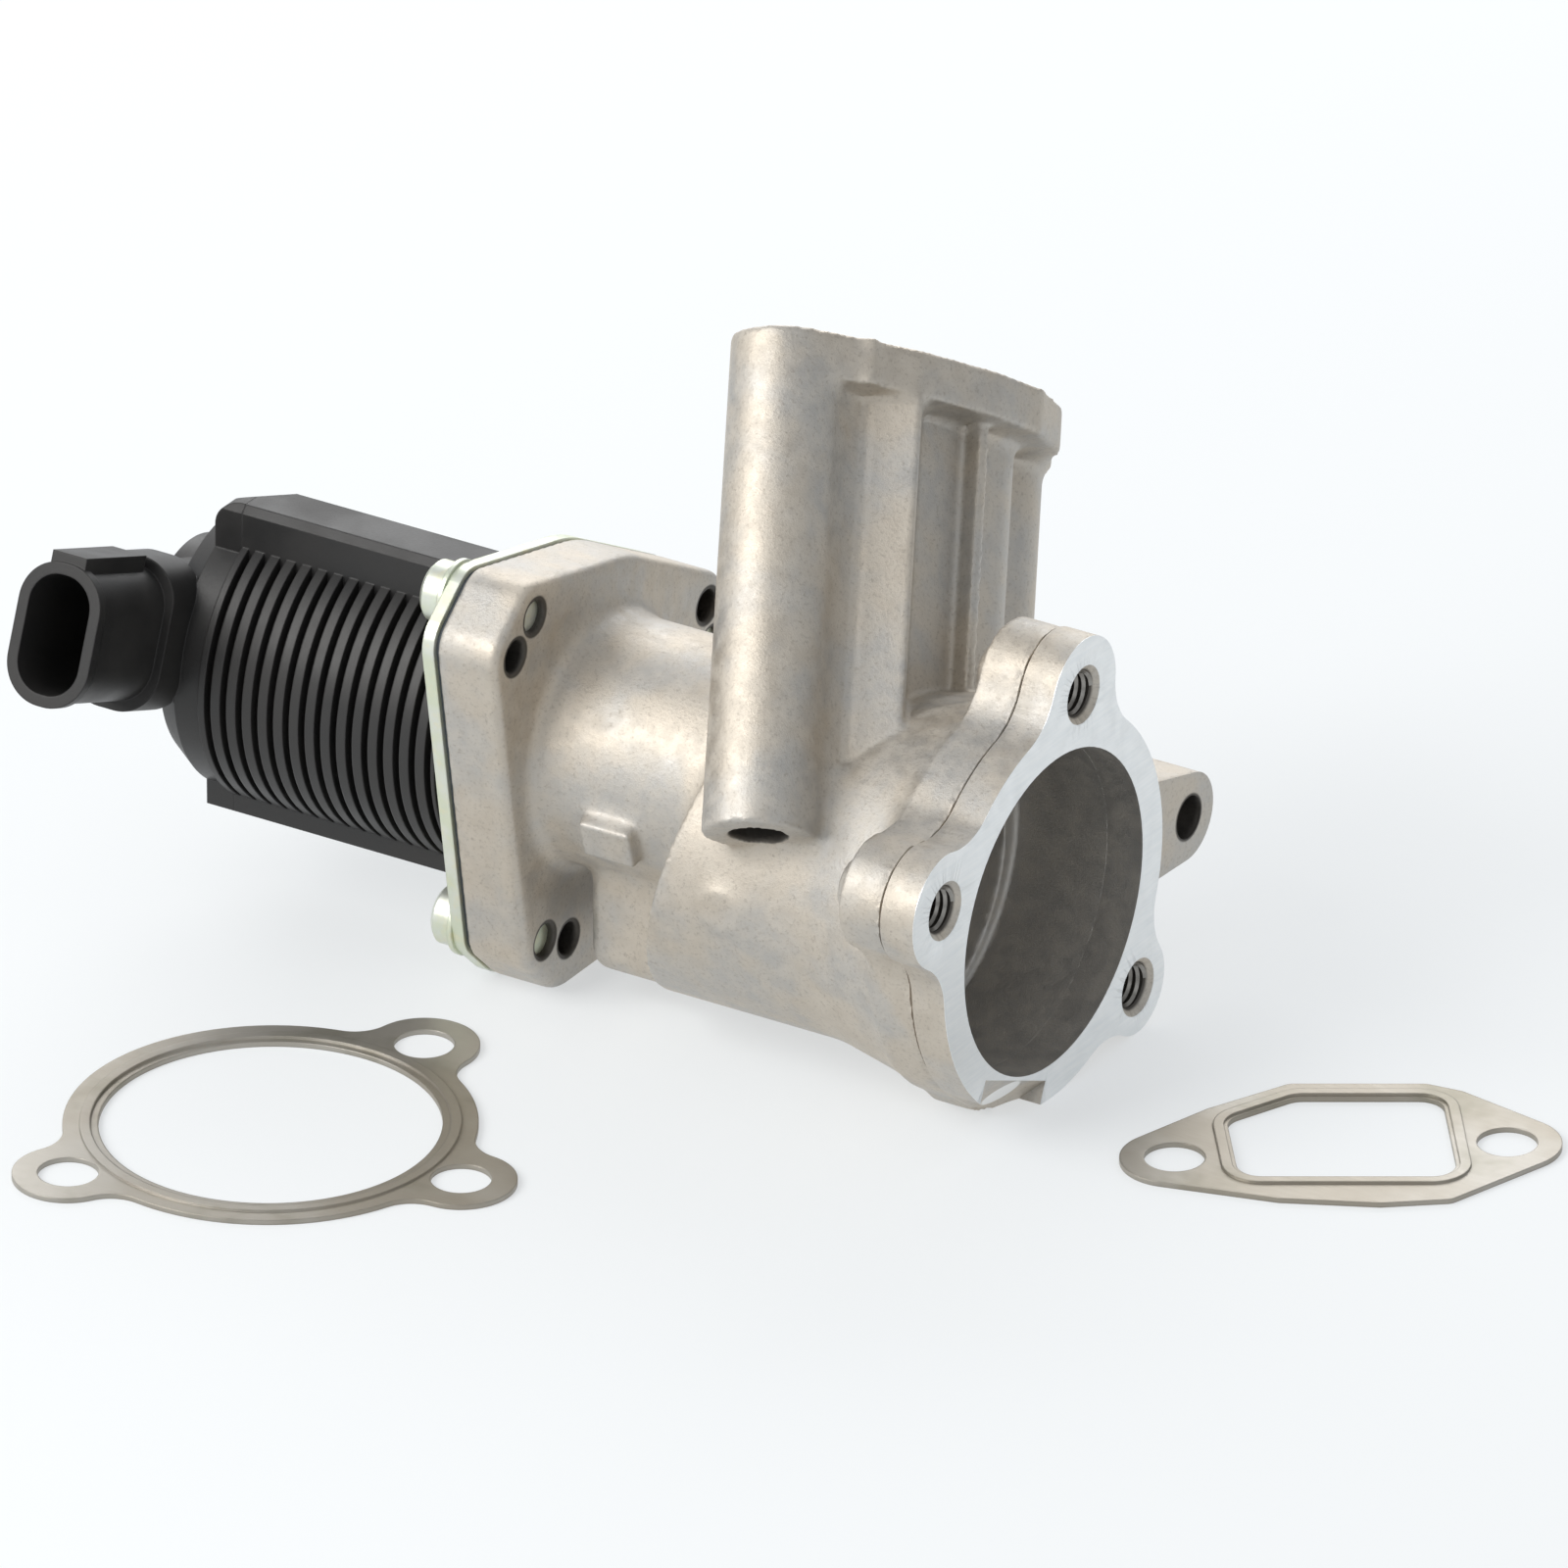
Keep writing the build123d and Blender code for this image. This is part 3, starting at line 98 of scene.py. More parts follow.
neck_from = (0.5, 4.5, 30.0)    # in the tower's own directions
neck_to = (-59.0, 0.0, valve_z)
neck_bore_r = 8.6
m8_tap_r = 3.4
act_hole_r = 3.0
air_screws = [(8.04, 32.26), (-30.38, 13.52), (23.92, -23.10)]
act_ring_r = 31.6
act_screws = [(-act_ring_r * sin(radians(a)), valve_z + act_ring_r * cos(radians(a)))
              for turn in (45.0, 165.0, 285.0) for a in (turn, turn - 12.5)]
lug_hole = (48.0, -7.0)
tower_base = Vector((-27.7, -8.3, 2.2))
tower_back = radians(17.7)      # the tower leans back and to its side
tower_side = radians(38.65)
port_turn = radians(69.8)       # the port flange is turned about the tower's axis
tower_axis = Vector((-sin(tower_back), cos(tower_back) * sin(tower_side),
                     cos(tower_back) * cos(tower_side)))
tower_x = Vector((1, 0, 0)) - tower_axis * tower_axis.x
tower_x = Matrix.Rotation(port_turn, 3, tower_axis) @ tower_x.normalized()
tower_y = tower_axis.cross(tower_x)
tower_h = 75.5
port_corners = [(-13.8, -7.0), (15.6, -7.0), (13.9, 15.0), (-6.0, 15.0), (-15.2, 8.6)]
port_floor_h = 29.0
port_holes = [(-24.45, -2.36, 4.25, 75.5), (24.45, 2.36, m8_tap_r, 24.0)]
hole_shade_r = 4.7               # inside of the near port hole, painted almost black as shade
ribs_x = (-15.5, 8.5)           # the ribs' crisp edges lie in here, in the tower's directions
ribs_y = -8.2
ribs_h = (12.0, 67.0)


def tower_point(x, y, h):
    """A point given in the tower's own directions and its height over the base."""
    return tower_base + tower_x * x + tower_y * y + tower_axis * h


class Wire:
    """An output in a finish's node tree, written in sums as a number would be."""

    def __init__(self, finish, socket):
        self.finish, self.socket = finish, socket

    def _sum(self, operation, a, b=0.0):
        return self.finish.node("ShaderNodeMath", {"operation": operation}, {0: a, 1: b})

    def __add__(self, other):
        return self._sum("ADD", self, other)

    __radd__ = __add__

    def __sub__(self, other):
        return self._sum("SUBTRACT", self, other)

    def __rsub__(self, other):
        return self._sum("SUBTRACT", other, self)

    def __mul__(self, other):
        return self._sum("MULTIPLY", self, other)

    __rmul__ = __mul__

    def __pow__(self, other):
        return self._sum("POWER", self, other)

    def __gt__(self, other):
        return self._sum("GREATER_THAN", self, other)

    def __lt__(self, other):
        return self._sum("LESS_THAN", self, other)


class Finish:
    """A material in the making: its shader, its coordinates in mm and any other node."""

    def __init__(self, name, **fixed):
        self.material = bpy.data.materials.new(name)
        self.material.use_nodes = True
        self.tree = self.material.node_tree
        self.shader = self.tree.nodes["Principled BSDF"]
        for socket, value in fixed.items():
            self.shader.inputs[socket.replace("_", " ")].default_value = value
        self.at = self.node("ShaderNodeTexCoord", out="Object")
        self.mm = self.node("ShaderNodeVectorMath", {"operation": "SCALE"}, {0: self.at, 3: 1000.0})
        self.x, self.y, self.z = (
            self.node("ShaderNodeSeparateXYZ", values={0: self.mm}, out=i) for i in range(3))

    def node(self, kind, settings=None, values=None, out=0):
        node = self.tree.nodes.new(kind)
        for key, value in (settings or {}).items():
            if key == "stops":
                ramp = node.color_ramp
                while len(ramp.elements) < len(value):
                    ramp.elements.new(0.5)
                for element, (place, colour) in zip(ramp.elements, value):
                    element.position, element.color = place, (*colour, 1.0)
            else:
                setattr(node, key, value)
        for key, value in (values or {}).items():
            if isinstance(value, Wire):
                self.tree.links.new(value.socket, node.inputs[key])
            else:
                node.inputs[key].default_value = value
        return Wire(self, node.outputs[out])

    def mix(self, mask, a, b, blend="MIX"):
        """Colour a where mask is 0 and colour b where it is 1."""
        a, b = ((*c, 1.0) if isinstance(c, tuple) and len(c) == 3 else c for c in (a, b))
        return self.node("ShaderNodeMix", {"data_type": "RGBA", "blend_type": blend},
                         {0: mask, 6: a, 7: b}, out=2)

    def noise(self, scale, detail=3.0, roughness=0.55, stretch=(1.0, 1.0, 1.0), spread=(0.0, 1.0)):
        """Noise with that many cells to the mm, spread to the range given by two thresholds."""
        place = self.node("ShaderNodeMapping", values={0: self.mm, 3: stretch})
        value = self.node(
            "ShaderNodeTexNoise",
            values={"Vector": place, "Scale": scale, "Detail": detail, "Roughness": roughness})
        if spread == (0.0, 1.0):
            return value
        return self.step(value, *spread)

    def step(self, value, low, high):
        """0 below low, 1 above high and smooth between them."""
        return self.node("ShaderNodeMapRange", {"interpolation_type": "SMOOTHSTEP"},
                         {0: value, 1: low, 2: high})

    def length(self, *parts):
        """Distance made up of these parts."""
        total = parts[0] * parts[0]
        for part in parts[1:]:
            total = total + part * part
        return total ** 0.5

    def drive(self, **wires):
        for socket, wire in wires.items():
            self.tree.links.new(wire.socket, self.shader.inputs[socket.replace("_", " ")])

    def relief(self, height, depth_mm, strength=1.0, edge_mm=0.0):
        """Bump from a height of 0 to 1, over edges that are softened by edge_mm."""
        values = {"Height": height, "Distance": depth_mm * mm, "Strength": strength}
        if edge_mm:
            values["Normal"] = self.node(
                "ShaderNodeBevel", {"samples": 6}, {"Radius": edge_mm * mm})
        self.drive(Normal=self.node("ShaderNodeBump", values=values))


cast = Finish("cast_aluminium", Metallic=0.9, IOR=1.5)
over_tower = cast.node(
    "ShaderNodeVectorMath", {"operation": "DOT_PRODUCT"},
    {0: cast.mm, 1: tuple(tower_axis)}, out="Value") - tower_base.dot(tower_axis)
from_bore = cast.length(cast.y, cast.z)
face_cut = cast.x > -0.06
port_cut = over_tower > tower_h - 0.06
foot_spot = cast.step(
    foot_spot_r - cast.length(cast.y - foot_spot_at[0], cast.z - foot_spot_at[1]), 0.0, 0.5)
foot_spot = foot_spot * (cast.x > -6.0)
machined = cast.node("ShaderNodeMath", {"operation": "MAXIMUM"}, {0: face_cut, 1: port_cut})
in_bore = cast.step(soot_r - from_bore, 0.0, 0.4) * (cast.x < soot_x[1]) * (cast.x > soot_x[0])
patches = cast.noise(0.07, 3.0, 0.6, spread=(0.38, 0.62))
mottle = cast.noise(0.35, 4.0, 0.6, spread=(0.3, 0.72))
grain = cast.noise(1.7, 4.0, 0.7)
fine_grain = cast.noise(5.5, 2.0, 0.7)
mill = cast.noise(0.5, 4.0, 0.65, stretch=(1.0, 0.25, 3.0))
as_cast = cast.mix(patches, (0.58, 0.525, 0.45), (0.51, 0.495, 0.47))
as_cast = cast.mix(mottle * 0.5, as_cast, (0.72, 0.675, 0.605))
as_cast = cast.mix(cast.step(grain, 0.5, 0.75) * 0.55, as_cast, (0.34, 0.30, 0.255))
as_cut = cast.mix(cast.step(mill, 0.3, 0.7), (0.87, 0.885, 0.885), (0.815, 0.84, 0.85))
sooty = cast.mix(mottle, (0.50, 0.49, 0.475), (0.58, 0.55, 0.505))
# middle, radius and reach along x of each hole whose wall is painted dark as shade
shaded_holes = [(at, m8_tap_r, -19.0, -0.7) for at in air_screws]
shaded_holes.append((lug_hole, m8_tap_r, -22.0, -2.0))
shaded_holes += [(at, 2.9, -92.0, -76.0) for at in act_screws]
near_x, near_y = (
    cast.node("ShaderNodeVectorMath", {"operation": "DOT_PRODUCT"}, {0: cast.mm, 1: tuple(way)},
              out="Value") - (tower_base.dot(way) + start)
    for way, start in ((tower_x, port_holes[0][0]), (tower_y, port_holes[0][1])))
hole_shade = cast.step(hole_shade_r - cast.length(near_x, near_y), 0.0, 0.4)
hole_shade = hole_shade * (over_tower < tower_h - 1.0)
for (y, z), radius, low, high in shaded_holes:
    near_axis = cast.step((radius + 0.55) - cast.length(cast.y - y, cast.z - z), 0.0, 0.4)
    hole_shade = near_axis * (cast.x > low) * (cast.x < high) + hole_shade
colour = cast.mix(in_bore * 0.85, as_cast, sooty)
# painted shade: the hole walls and the inside of the near port hole are painted almost black
colour = cast.mix(hole_shade * 0.9, colour, (0.055, 0.05, 0.045))
cast.drive(
    Base_Color=cast.mix(foot_spot, cast.mix(machined, colour, as_cut), (0.93, 0.93, 0.92)),
    Roughness=0.50 + 0.16 * mottle - 0.17 * machined,
)
cast.relief((grain * 0.7 + fine_grain * 0.3) * (1.0 - machined * 0.9), 0.16, 0.55)


def welded(node):
    """The node's mesh with its loose triangles joined."""
    bm = bmesh.new()
    bm.from_mesh(nodes[node].data)
    bmesh.ops.remove_doubles(bm, verts=bm.verts, dist=1e-6)
    return bm


def to_object(bm, name):
    mesh = bpy.data.meshes.new(name)
    bm.to_mesh(mesh)
    bm.free()
    piece = bpy.data.objects.new(name, mesh)
    bpy.context.scene.collection.objects.link(piece)
    return piece


def settle(piece):
    """Turns a piece's live modifiers into its plain mesh."""
    graph = bpy.context.evaluated_depsgraph_get()
    mesh = bpy.data.meshes.new_from_object(piece.evaluated_get(graph), depsgraph=graph)
    piece.modifiers.clear()
    mesh.name = piece.name
    piece.data = mesh
    return piece


def finish_piece(piece, body, slot, material, *stands_for):
    """Paints a piece, puts it on its body and hides the nodes that it stands for."""
    piece.data.materials.clear()
    piece.data.materials.append(material)
    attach(piece, body)
    if stands_for:
        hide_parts(*stands_for)
    return piece


def half_of(bm, front):
    """Keeps what lies in front of or behind the groove and closes the cut."""
    cut = bmesh.ops.bisect_plane(
        bm, geom=bm.verts[:] + bm.edges[:] + bm.faces[:], dist=1e-7,
        plane_co=(face_line_x * mm, 0, 0), plane_no=(1, 0, 0),
        clear_inner=front, clear_outer=not front)
    edges = [e for e in cut["geom_cut"] if isinstance(e, bmesh.types.BMEdge)]
    caps = bmesh.ops.triangle_fill(bm, edges=edges, use_beauty=True)
    for face in [f for f in caps["geom"] if isinstance(f, bmesh.types.BMFace)]:
        if (face.normal.x > 0) == front:
            face.normal_flip()


def in_hollow(p):
    """Which points lie in or on the walls of the bores, so that blends leave them alone."""
    margin = 0.9
    inside = np.zeros(len(p), bool)
    # middle, radius and reach along x of each bore
    axes = [((0, 0), bore_r, -24.0, 2.0), ((0, valve_z), seat_clear_r, -72.0, -20.0),
            ((0, valve_z), pilot_clear_r, -95.0, -82.0), (lug_hole, m8_tap_r, -20.0, 0.0)]
    axes += [(at, m8_tap_r, -18.0, 2.0) for at in air_screws]
    axes += [(at, act_hole_r, -92.0, -76.0) for at in act_screws]
    for (y, z), radius, low, high in axes:
        inside |= ((np.hypot(p[:, 1] - y, p[:, 2] - z) < radius + margin)
                   & (p[:, 0] > low) & (p[:, 0] < high))
    inside |= np.linalg.norm(p - np.array(bore_turn), axis=1) < bore_turn_r + margin
    local = p - np.array(tower_base)
    x, y, h = (local @ np.array(v) for v in (tower_x, tower_y, tower_axis))
    for hx, hy, radius, depth in port_holes:
        inside |= (np.hypot(x - hx, y - hy) < radius + margin) & (h > tower_h - depth - margin)
    in_port = h > port_floor_h
    for i, (ax, ay) in enumerate(port_corners):
        bx, by = port_corners[(i + 1) % len(port_corners)]
        length = np.hypot(bx - ax, by - ay)
        in_port &= ((x - ax) * (by - ay) - (y - ay) * (bx - ax)) / length < margin
    start = np.array(tower_point(*neck_from))
    neck = np.array(neck_to) - start
    along = np.clip((p - start) @ neck / (neck @ neck), 0, 1)
    in_neck = np.linalg.norm(p - start - along[:, None] * neck, axis=1) < neck_bore_r + margin
    by_ribs = ((x > ribs_x[0]) & (x < ribs_x[1]) & (y < ribs_y) & (h > ribs_h[0])
               & (h < ribs_h[1]))
    return inside | in_port | in_neck | by_ribs | (p[:, 0] > unblended_x)


def blend_corners(mesh, passes):
    """Fills inside corners with a soft blend and takes the sharpness off outside edges."""
    count = len(mesh.vertices)
    p = np.empty(count * 3)
    mesh.vertices.foreach_get("co", p)
    p = p.reshape(-1, 3) / mm
    ends = np.empty(len(mesh.edges) * 2, np.int64)
    mesh.edges.foreach_get("vertices", ends)
    a, b = ends.reshape(-1, 2).T
    near = np.bincount(a, minlength=count) + np.bincount(b, minlength=count)
    kept = in_hollow(p)

    def drift():
        mean = np.stack([
            np.bincount(a, p[b, i], count) + np.bincount(b, p[a, i], count) for i in range(3)
        ], axis=1) / near[:, None]
        return mean - p

    for _ in range(3):
        p += drift() * np.where(kept, 0.25, 0.6)[:, None]
    for step in range(passes):
        if step % 8 == 0:
            mesh.vertices.foreach_set("co", (p * mm).ravel())
            mesh.update()
            normal = np.empty(count * 3)
            mesh.vertex_normals.foreach_get("vector", normal)
            normal = normal.reshape(-1, 3)
        move = drift()
        rise = (move * normal).sum(axis=1)
        p += np.where((rise > 0) & ~kept, 0.8, 0.0)[:, None] * rise[:, None] * normal
    mesh.vertices.foreach_set("co", (p * mm).ravel())
    mesh.update()


casting = to_object(welded("housing"), "cast_body")
skin = casting.modifiers.new("skin", "REMESH")
skin.mode, skin.voxel_size = "VOXEL", voxel * mm
settle(casting)
blend_corners(casting.data, blend_passes)
thin = casting.modifiers.new("thin", "DECIMATE")
thin.ratio = casting_share
settle(casting)
body_bm = bmesh.new()
body_bm.from_mesh(casting.data)
half_of(body_bm, front=False)
face_bm = welded("housing")
half_of(face_bm, front=True)
face = to_object(face_bm, "cast_face")

# Countersinks and the foot's slanting front are cut out of the machined layer.
sinks = bmesh.new()
for y, z in air_screws:
    bmesh.ops.create_cone(
        sinks, cap_ends=True, segments=64, radius1=sink_inner_r * mm, radius2=sink_outer_r * mm,
        depth=sink_depth * mm, matrix=Matrix.Translation(Vector((sink_x, y, z)) * mm)
        @ Matrix.Rotation(radians(90), 4, "Y"))
foot_out = Vector((0, -sin(radians(foot_angle)), cos(radians(foot_angle))))
facet_out = (foot_out + Vector((1, 0, 0))).normalized()
facet_side = facet_out.cross(foot_out).normalized()
facet_down = facet_side.cross(facet_out)
facet_turn = Matrix((facet_down, facet_side, facet_out)).transposed().to_4x4()
middle_out = foot_out * foot_flat_r + facet_out * foot_cut / 2
bmesh.ops.create_cube(
    sinks, size=foot_cut * mm, matrix=Matrix.Translation(middle_out * mm) @ facet_turn
    @ Matrix.Diagonal((1.0, foot_cut_across / foot_cut, 1.0, 1.0)))
cutter = to_object(sinks, "sinks")
cut_out = face.modifiers.new("sinks", "BOOLEAN")
cut_out.object, cut_out.operation, cut_out.solver = cutter, "DIFFERENCE", "EXACT"
settle(face)
bpy.data.objects.remove(cutter)
body_bm.from_mesh(face.data)
bpy.data.objects.remove(face)

# The bored wall is a thin ring, so that it stays truly round.
rings = []
for x, radius in ((bore_front_x, bored_r), (bore_end_x, bored_r), (bore_end_x, bored_back_r),
                  (bore_front_x, bored_back_r)):
    rings.append([body_bm.verts.new(Vector((
        x, radius * cos(2 * pi * i / bore_steps), radius * sin(2 * pi * i / bore_steps))) * mm)
        for i in range(bore_steps)])
for k in range(4):
    this, after = rings[k], rings[(k + 1) % 4]
    for i in range(bore_steps):
        j = (i + 1) % bore_steps
        body_bm.faces.new((this[i], this[j], after[j], after[i]))
body_bm.to_mesh(casting.data)
body_bm.free()

# Only the machined layer keeps its sharp edges.
casting.data.shade_smooth()
casting.data.set_sharp_from_angle(angle=radians(38))
ends = np.empty(len(casting.data.edges) * 2, np.int64)
casting.data.edges.foreach_get("vertices", ends)
points = np.empty(len(casting.data.vertices) * 3)
casting.data.vertices.foreach_get("co", points)
on_face = points.reshape(-1, 3)[:, 0] > (face_line_x - 0.001) * mm
sharp = np.empty(len(casting.data.edges), bool)
casting.data.edges.foreach_get("use_edge_sharp", sharp)
sharp &= on_face[ends.reshape(-1, 2)].all(axis=1)
casting.data.edges.foreach_set("use_edge_sharp", sharp)
evened = casting.modifiers.new("evened", "WEIGHTED_NORMAL")
evened.mode, evened.keep_sharp = "FACE_AREA", True
settle(casting)
finish_piece(casting, "body", "cast_aluminium", cast.material, "housing")

# ---- Threads of the tapped holes ------------------------------------------------------------
# Cut in the casting for M8 screws: three in the round flange and one in the port flange.
# Each is the helical ridge that a tap leaves, one turn to every 1.25 mm.
thread_finish = Finish("cut_thread", Metallic=0.85, Roughness=0.3)
crest = thread_finish.noise(0.9, 2.0, 0.5)
thread_finish.drive(Base_Color=thread_finish.mix(crest, (0.20, 0.19, 0.175), (0.40, 0.385, 0.36)))
thread_finish.relief(thread_finish.noise(4.0, 2.0), 0.03, 0.4)


class Tree:
    """A Geometry Nodes tree in the making, with named sizes."""

    def __init__(self, name, **sizes):
        self.tree = bpy.data.node_groups.new(name, "GeometryNodeTree")
        face = self.tree.interface
        face.new_socket("Geometry", in_out="INPUT", socket_type="NodeSocketGeometry")
        face.new_socket("Geometry", in_out="OUTPUT", socket_type="NodeSocketGeometry")
        self.sizes = {}
        for size, value in sizes.items():
            whole = isinstance(value, int)
            self.sizes[size] = (face.new_socket(
                size, in_out="INPUT",
                socket_type="NodeSocketInt" if whole else "NodeSocketFloat").identifier, value)
        self.given = self.tree.nodes.new("NodeGroupInput")
        self.shape = self.given.outputs[0]

    def size(self, name):
        return self.given.outputs[name]

    def node(self, kind, settings=None, values=None, out=0):
        node = self.tree.nodes.new(kind)
        for key, value in (settings or {}).items():
            setattr(node, key, value)
        for key, value in (values or {}).items():
            if isinstance(value, bpy.types.NodeSocket):
                self.tree.links.new(value, node.inputs[key])
            else:
                node.inputs[key].default_value = value
        return node.outputs[out]

    def sum(self, operation, a, b):
        return self.node("ShaderNodeMath", {"operation": operation}, {0: a, 1: b})

    def vector(self, x=0.0, y=0.0, z=0.0):
        return self.node("ShaderNodeCombineXYZ", values={0: x, 1: y, 2: z})

    def make(self, name, shape, material, **changed):
        """Ends the tree and returns the plain mesh that it makes from a shape's points."""
        if not any(n.bl_idname == "NodeGroupOutput" for n in self.tree.nodes):
            shape_out = self.tree.nodes.new("NodeGroupOutput")
            real = self.node("GeometryNodeRealizeInstances", values={0: self.result})
            painted = self.node(
                "GeometryNodeSetMaterial", values={"Geometry": real, "Material": material})
            self.tree.links.new(painted, shape_out.inputs[0])
        piece = bpy.data.objects.new(name, shape)
        bpy.context.scene.collection.objects.link(piece)
        grower = piece.modifiers.new("grow", "NODES")
        grower.node_group = self.tree
        for size, (socket, value) in self.sizes.items():
            grower[socket] = changed.get(size, value)
        settle(piece)
        piece.data.shade_smooth()
        piece.data.set_sharp_from_angle(angle=radians(35))
        return piece


def places(name, spots):
    """Points with the turn of what stands on them, from (point in mm, direction of its +Z)."""
    mesh = bpy.data.meshes.new(name)
    mesh.from_pydata([tuple(Vector(at) * mm) for at, _ in spots], [], [])
    turn = mesh.attributes.new("turn", "FLOAT_VECTOR", "POINT")
    turn.data.foreach_set("vector", [
        angle for _, way in spots for angle in Vector(way).to_track_quat("Z", "Y").to_euler()])
    return mesh


thread = Tree("tapped_thread", Radius=m8_tap_r * mm, Height=0.42 * mm, Pitch=1.25 * mm, Turns=9.0,
              Segments=40)
helix = thread.node("GeometryNodeCurveSpiral", values={
    "Resolution": thread.size("Segments"),
    "Rotations": thread.size("Turns"),
    "Start Radius": thread.size("Radius"),
    "End Radius": thread.size("Radius"),
    "Height": thread.sum("MULTIPLY", thread.size("Pitch"), thread.size("Turns")),
})
helix = thread.node("GeometryNodeSetCurveNormal", {"mode": "Z_UP"}, {0: helix})
ridge = thread.node("GeometryNodeCurvePrimitiveCircle", values={
    "Resolution": 4, "Radius": thread.size("Height")})
ridge_mesh = thread.node("GeometryNodeCurveToMesh", values={0: helix, 1: ridge, "Fill Caps": True})
face_turn = thread.node("GeometryNodeInputNamedAttribute", {"data_type": "FLOAT_VECTOR"},
                        {"Name": "turn"})
thread.result = thread.node("GeometryNodeInstanceOnPoints", values={
    "Points": thread.node("GeometryNodeMeshToPoints", values={0: thread.shape}),
    "Instance": ridge_mesh, "Rotation": face_turn})
thread_start = 12.2             # depth under the face
tapped = [((-thread_start, y, z), (1, 0, 0)) for y, z in air_screws]
far_x, far_y = port_holes[1][:2]
tapped.append((tower_point(far_x, far_y, tower_h - thread_start), tower_axis))
threads = thread.make("tapped_threads", places("thread_places", tapped), thread_finish.material)
finish_piece(threads, "body", "cast_aluminium", thread_finish.material)

# ---- Valve train -----------------------------------------------------------------------------
# Turned steel disc and stem, a pressed seat ring, a sintered bush with its lip seal behind it
# and a pressed shield that keeps soot off it. A wound spring pushes the valve shut.
turned_steels = {
    "valve_steel": ((0.44, 0.40, 0.35), (0.30, 0.235, 0.165), 0.9, 0.34),
    "seat_steel": ((0.55, 0.54, 0.52), (0.42, 0.40, 0.37), 0.9, 0.30),
    "magnetic_steel": ((0.50, 0.50, 0.50), (0.40, 0.40, 0.41), 0.9, 0.36),
    "sleeve_steel": ((0.62, 0.62, 0.62), (0.52, 0.53, 0.54), 0.9, 0.26),
    "spring_steel": ((0.48, 0.50, 0.53), (0.33, 0.34, 0.37), 0.9, 0.28),
    "bush_bronze": ((0.55, 0.40, 0.22), (0.40, 0.27, 0.13), 0.85, 0.45),
    "pin_metal": ((0.75, 0.68, 0.45), (0.62, 0.60, 0.52), 0.9, 0.28),
}
finishes = {}
for slot, (base, tint, metal, rough) in turned_steels.items():
    steel = Finish(slot, Metallic=metal)
    lathe_marks = steel.noise(0.8, 3.0, 0.6, stretch=(6.0, 0.4, 0.4))
    stain = steel.noise(0.25, 3.0, 0.6, spread=(0.35, 0.68))
    steel.drive(Base_Color=steel.mix(stain, base, tint), Roughness=rough + 0.16 * lathe_marks)
    steel.relief(lathe_marks, 0.03, 0.5, edge_mm=0.25)
    finishes[slot] = steel.material


def paint(node, slot):
    """Gives a CAD node the finish made for its slot."""
    data = nodes[node].data
    data.materials.clear()
    data.materials.append(finishes[slot])


rubber = Finish("seal_rubber", Roughness=0.5)
bloom = rubber.noise(0.6, 3.0, 0.6)
rubber.drive(
    Base_Color=rubber.mix(bloom, (0.016, 0.016, 0.017), (0.045, 0.044, 0.043)),
    Roughness=0.45 + 0.2 * bloom)
rubber.relief(rubber.noise(3.0, 3.0), 0.05, 0.4)
finishes["seal_rubber"] = rubber.material
for node, slot in (
    ("valve_seat", "seat_steel"), ("poppet_disc", "valve_steel"), ("valve_stem", "valve_steel"),
    ("stem_bush", "bush_bronze"), ("deposit_shield", "seat_steel"), ("stem_seal", "seal_rubber"),
    ("pole_piece", "magnetic_steel"), ("armature", "magnetic_steel"),
    ("rear_yoke", "magnetic_steel"), ("guide_sleeve", "sleeve_steel"),
    ("pilot_seal", "seal_rubber"), ("cap_seal", "seal_rubber"),
    ("terminal_pins", "pin_metal"),
):
    paint(node, slot)

# The return spring gets its own smooth-shaded copy. In the valve the armature pushes it together by
# the valve's lift.
coil = to_object(welded("return_spring"), "wound_spring")
coil.data.shade_smooth()
finish_piece(coil, "body", "spring_steel", finishes["spring_steel"], "return_spring")
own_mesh(coil)

# ---- Base plate, gasket and screws -----------------------------------------------------------
# Zinc-plated sheet steel plate, clamped on a fibre gasket by three screws with captive washers.
# The passivated plating is pale with yellow and green patches.
zinc = Finish("zinc_steel", Metallic=0.75)
passivate = zinc.noise(0.16, 3.0, 0.6, spread=(0.36, 0.64))
iridescence = zinc.noise(0.45, 3.0, 0.6, spread=(0.45, 0.75))
rolled = zinc.noise(1.4, 3.0, 0.6)
tone = zinc.mix(passivate, (0.70, 0.75, 0.60), (0.74, 0.77, 0.70))
tone = zinc.mix(iridescence * 0.5, tone, (0.80, 0.76, 0.52))
zinc.drive(Base_Color=tone, Roughness=0.30 + 0.2 * rolled)
zinc.relief(rolled, 0.04, 0.4, edge_mm=0.3)
finishes["zinc_steel"] = zinc.material
paper = Finish("gasket_paper")
fibre = paper.noise(1.5, 5.0, 0.7, stretch=(1.0, 1.0, 3.0))
paper.drive(
    Base_Color=paper.mix(fibre, (0.05, 0.06, 0.075), (0.16, 0.18, 0.20)),
    Roughness=0.75 + 0.1 * fibre)
paper.relief(fibre, 0.08, 0.5)
finishes["gasket_paper"] = paper.material
for node, slot in (("base_plate", "zinc_steel"), ("mounting_screws", "zinc_steel"),
                   ("seal_retainer", "zinc_steel"), ("plate_gasket", "gasket_paper")):
    paint(node, slot)

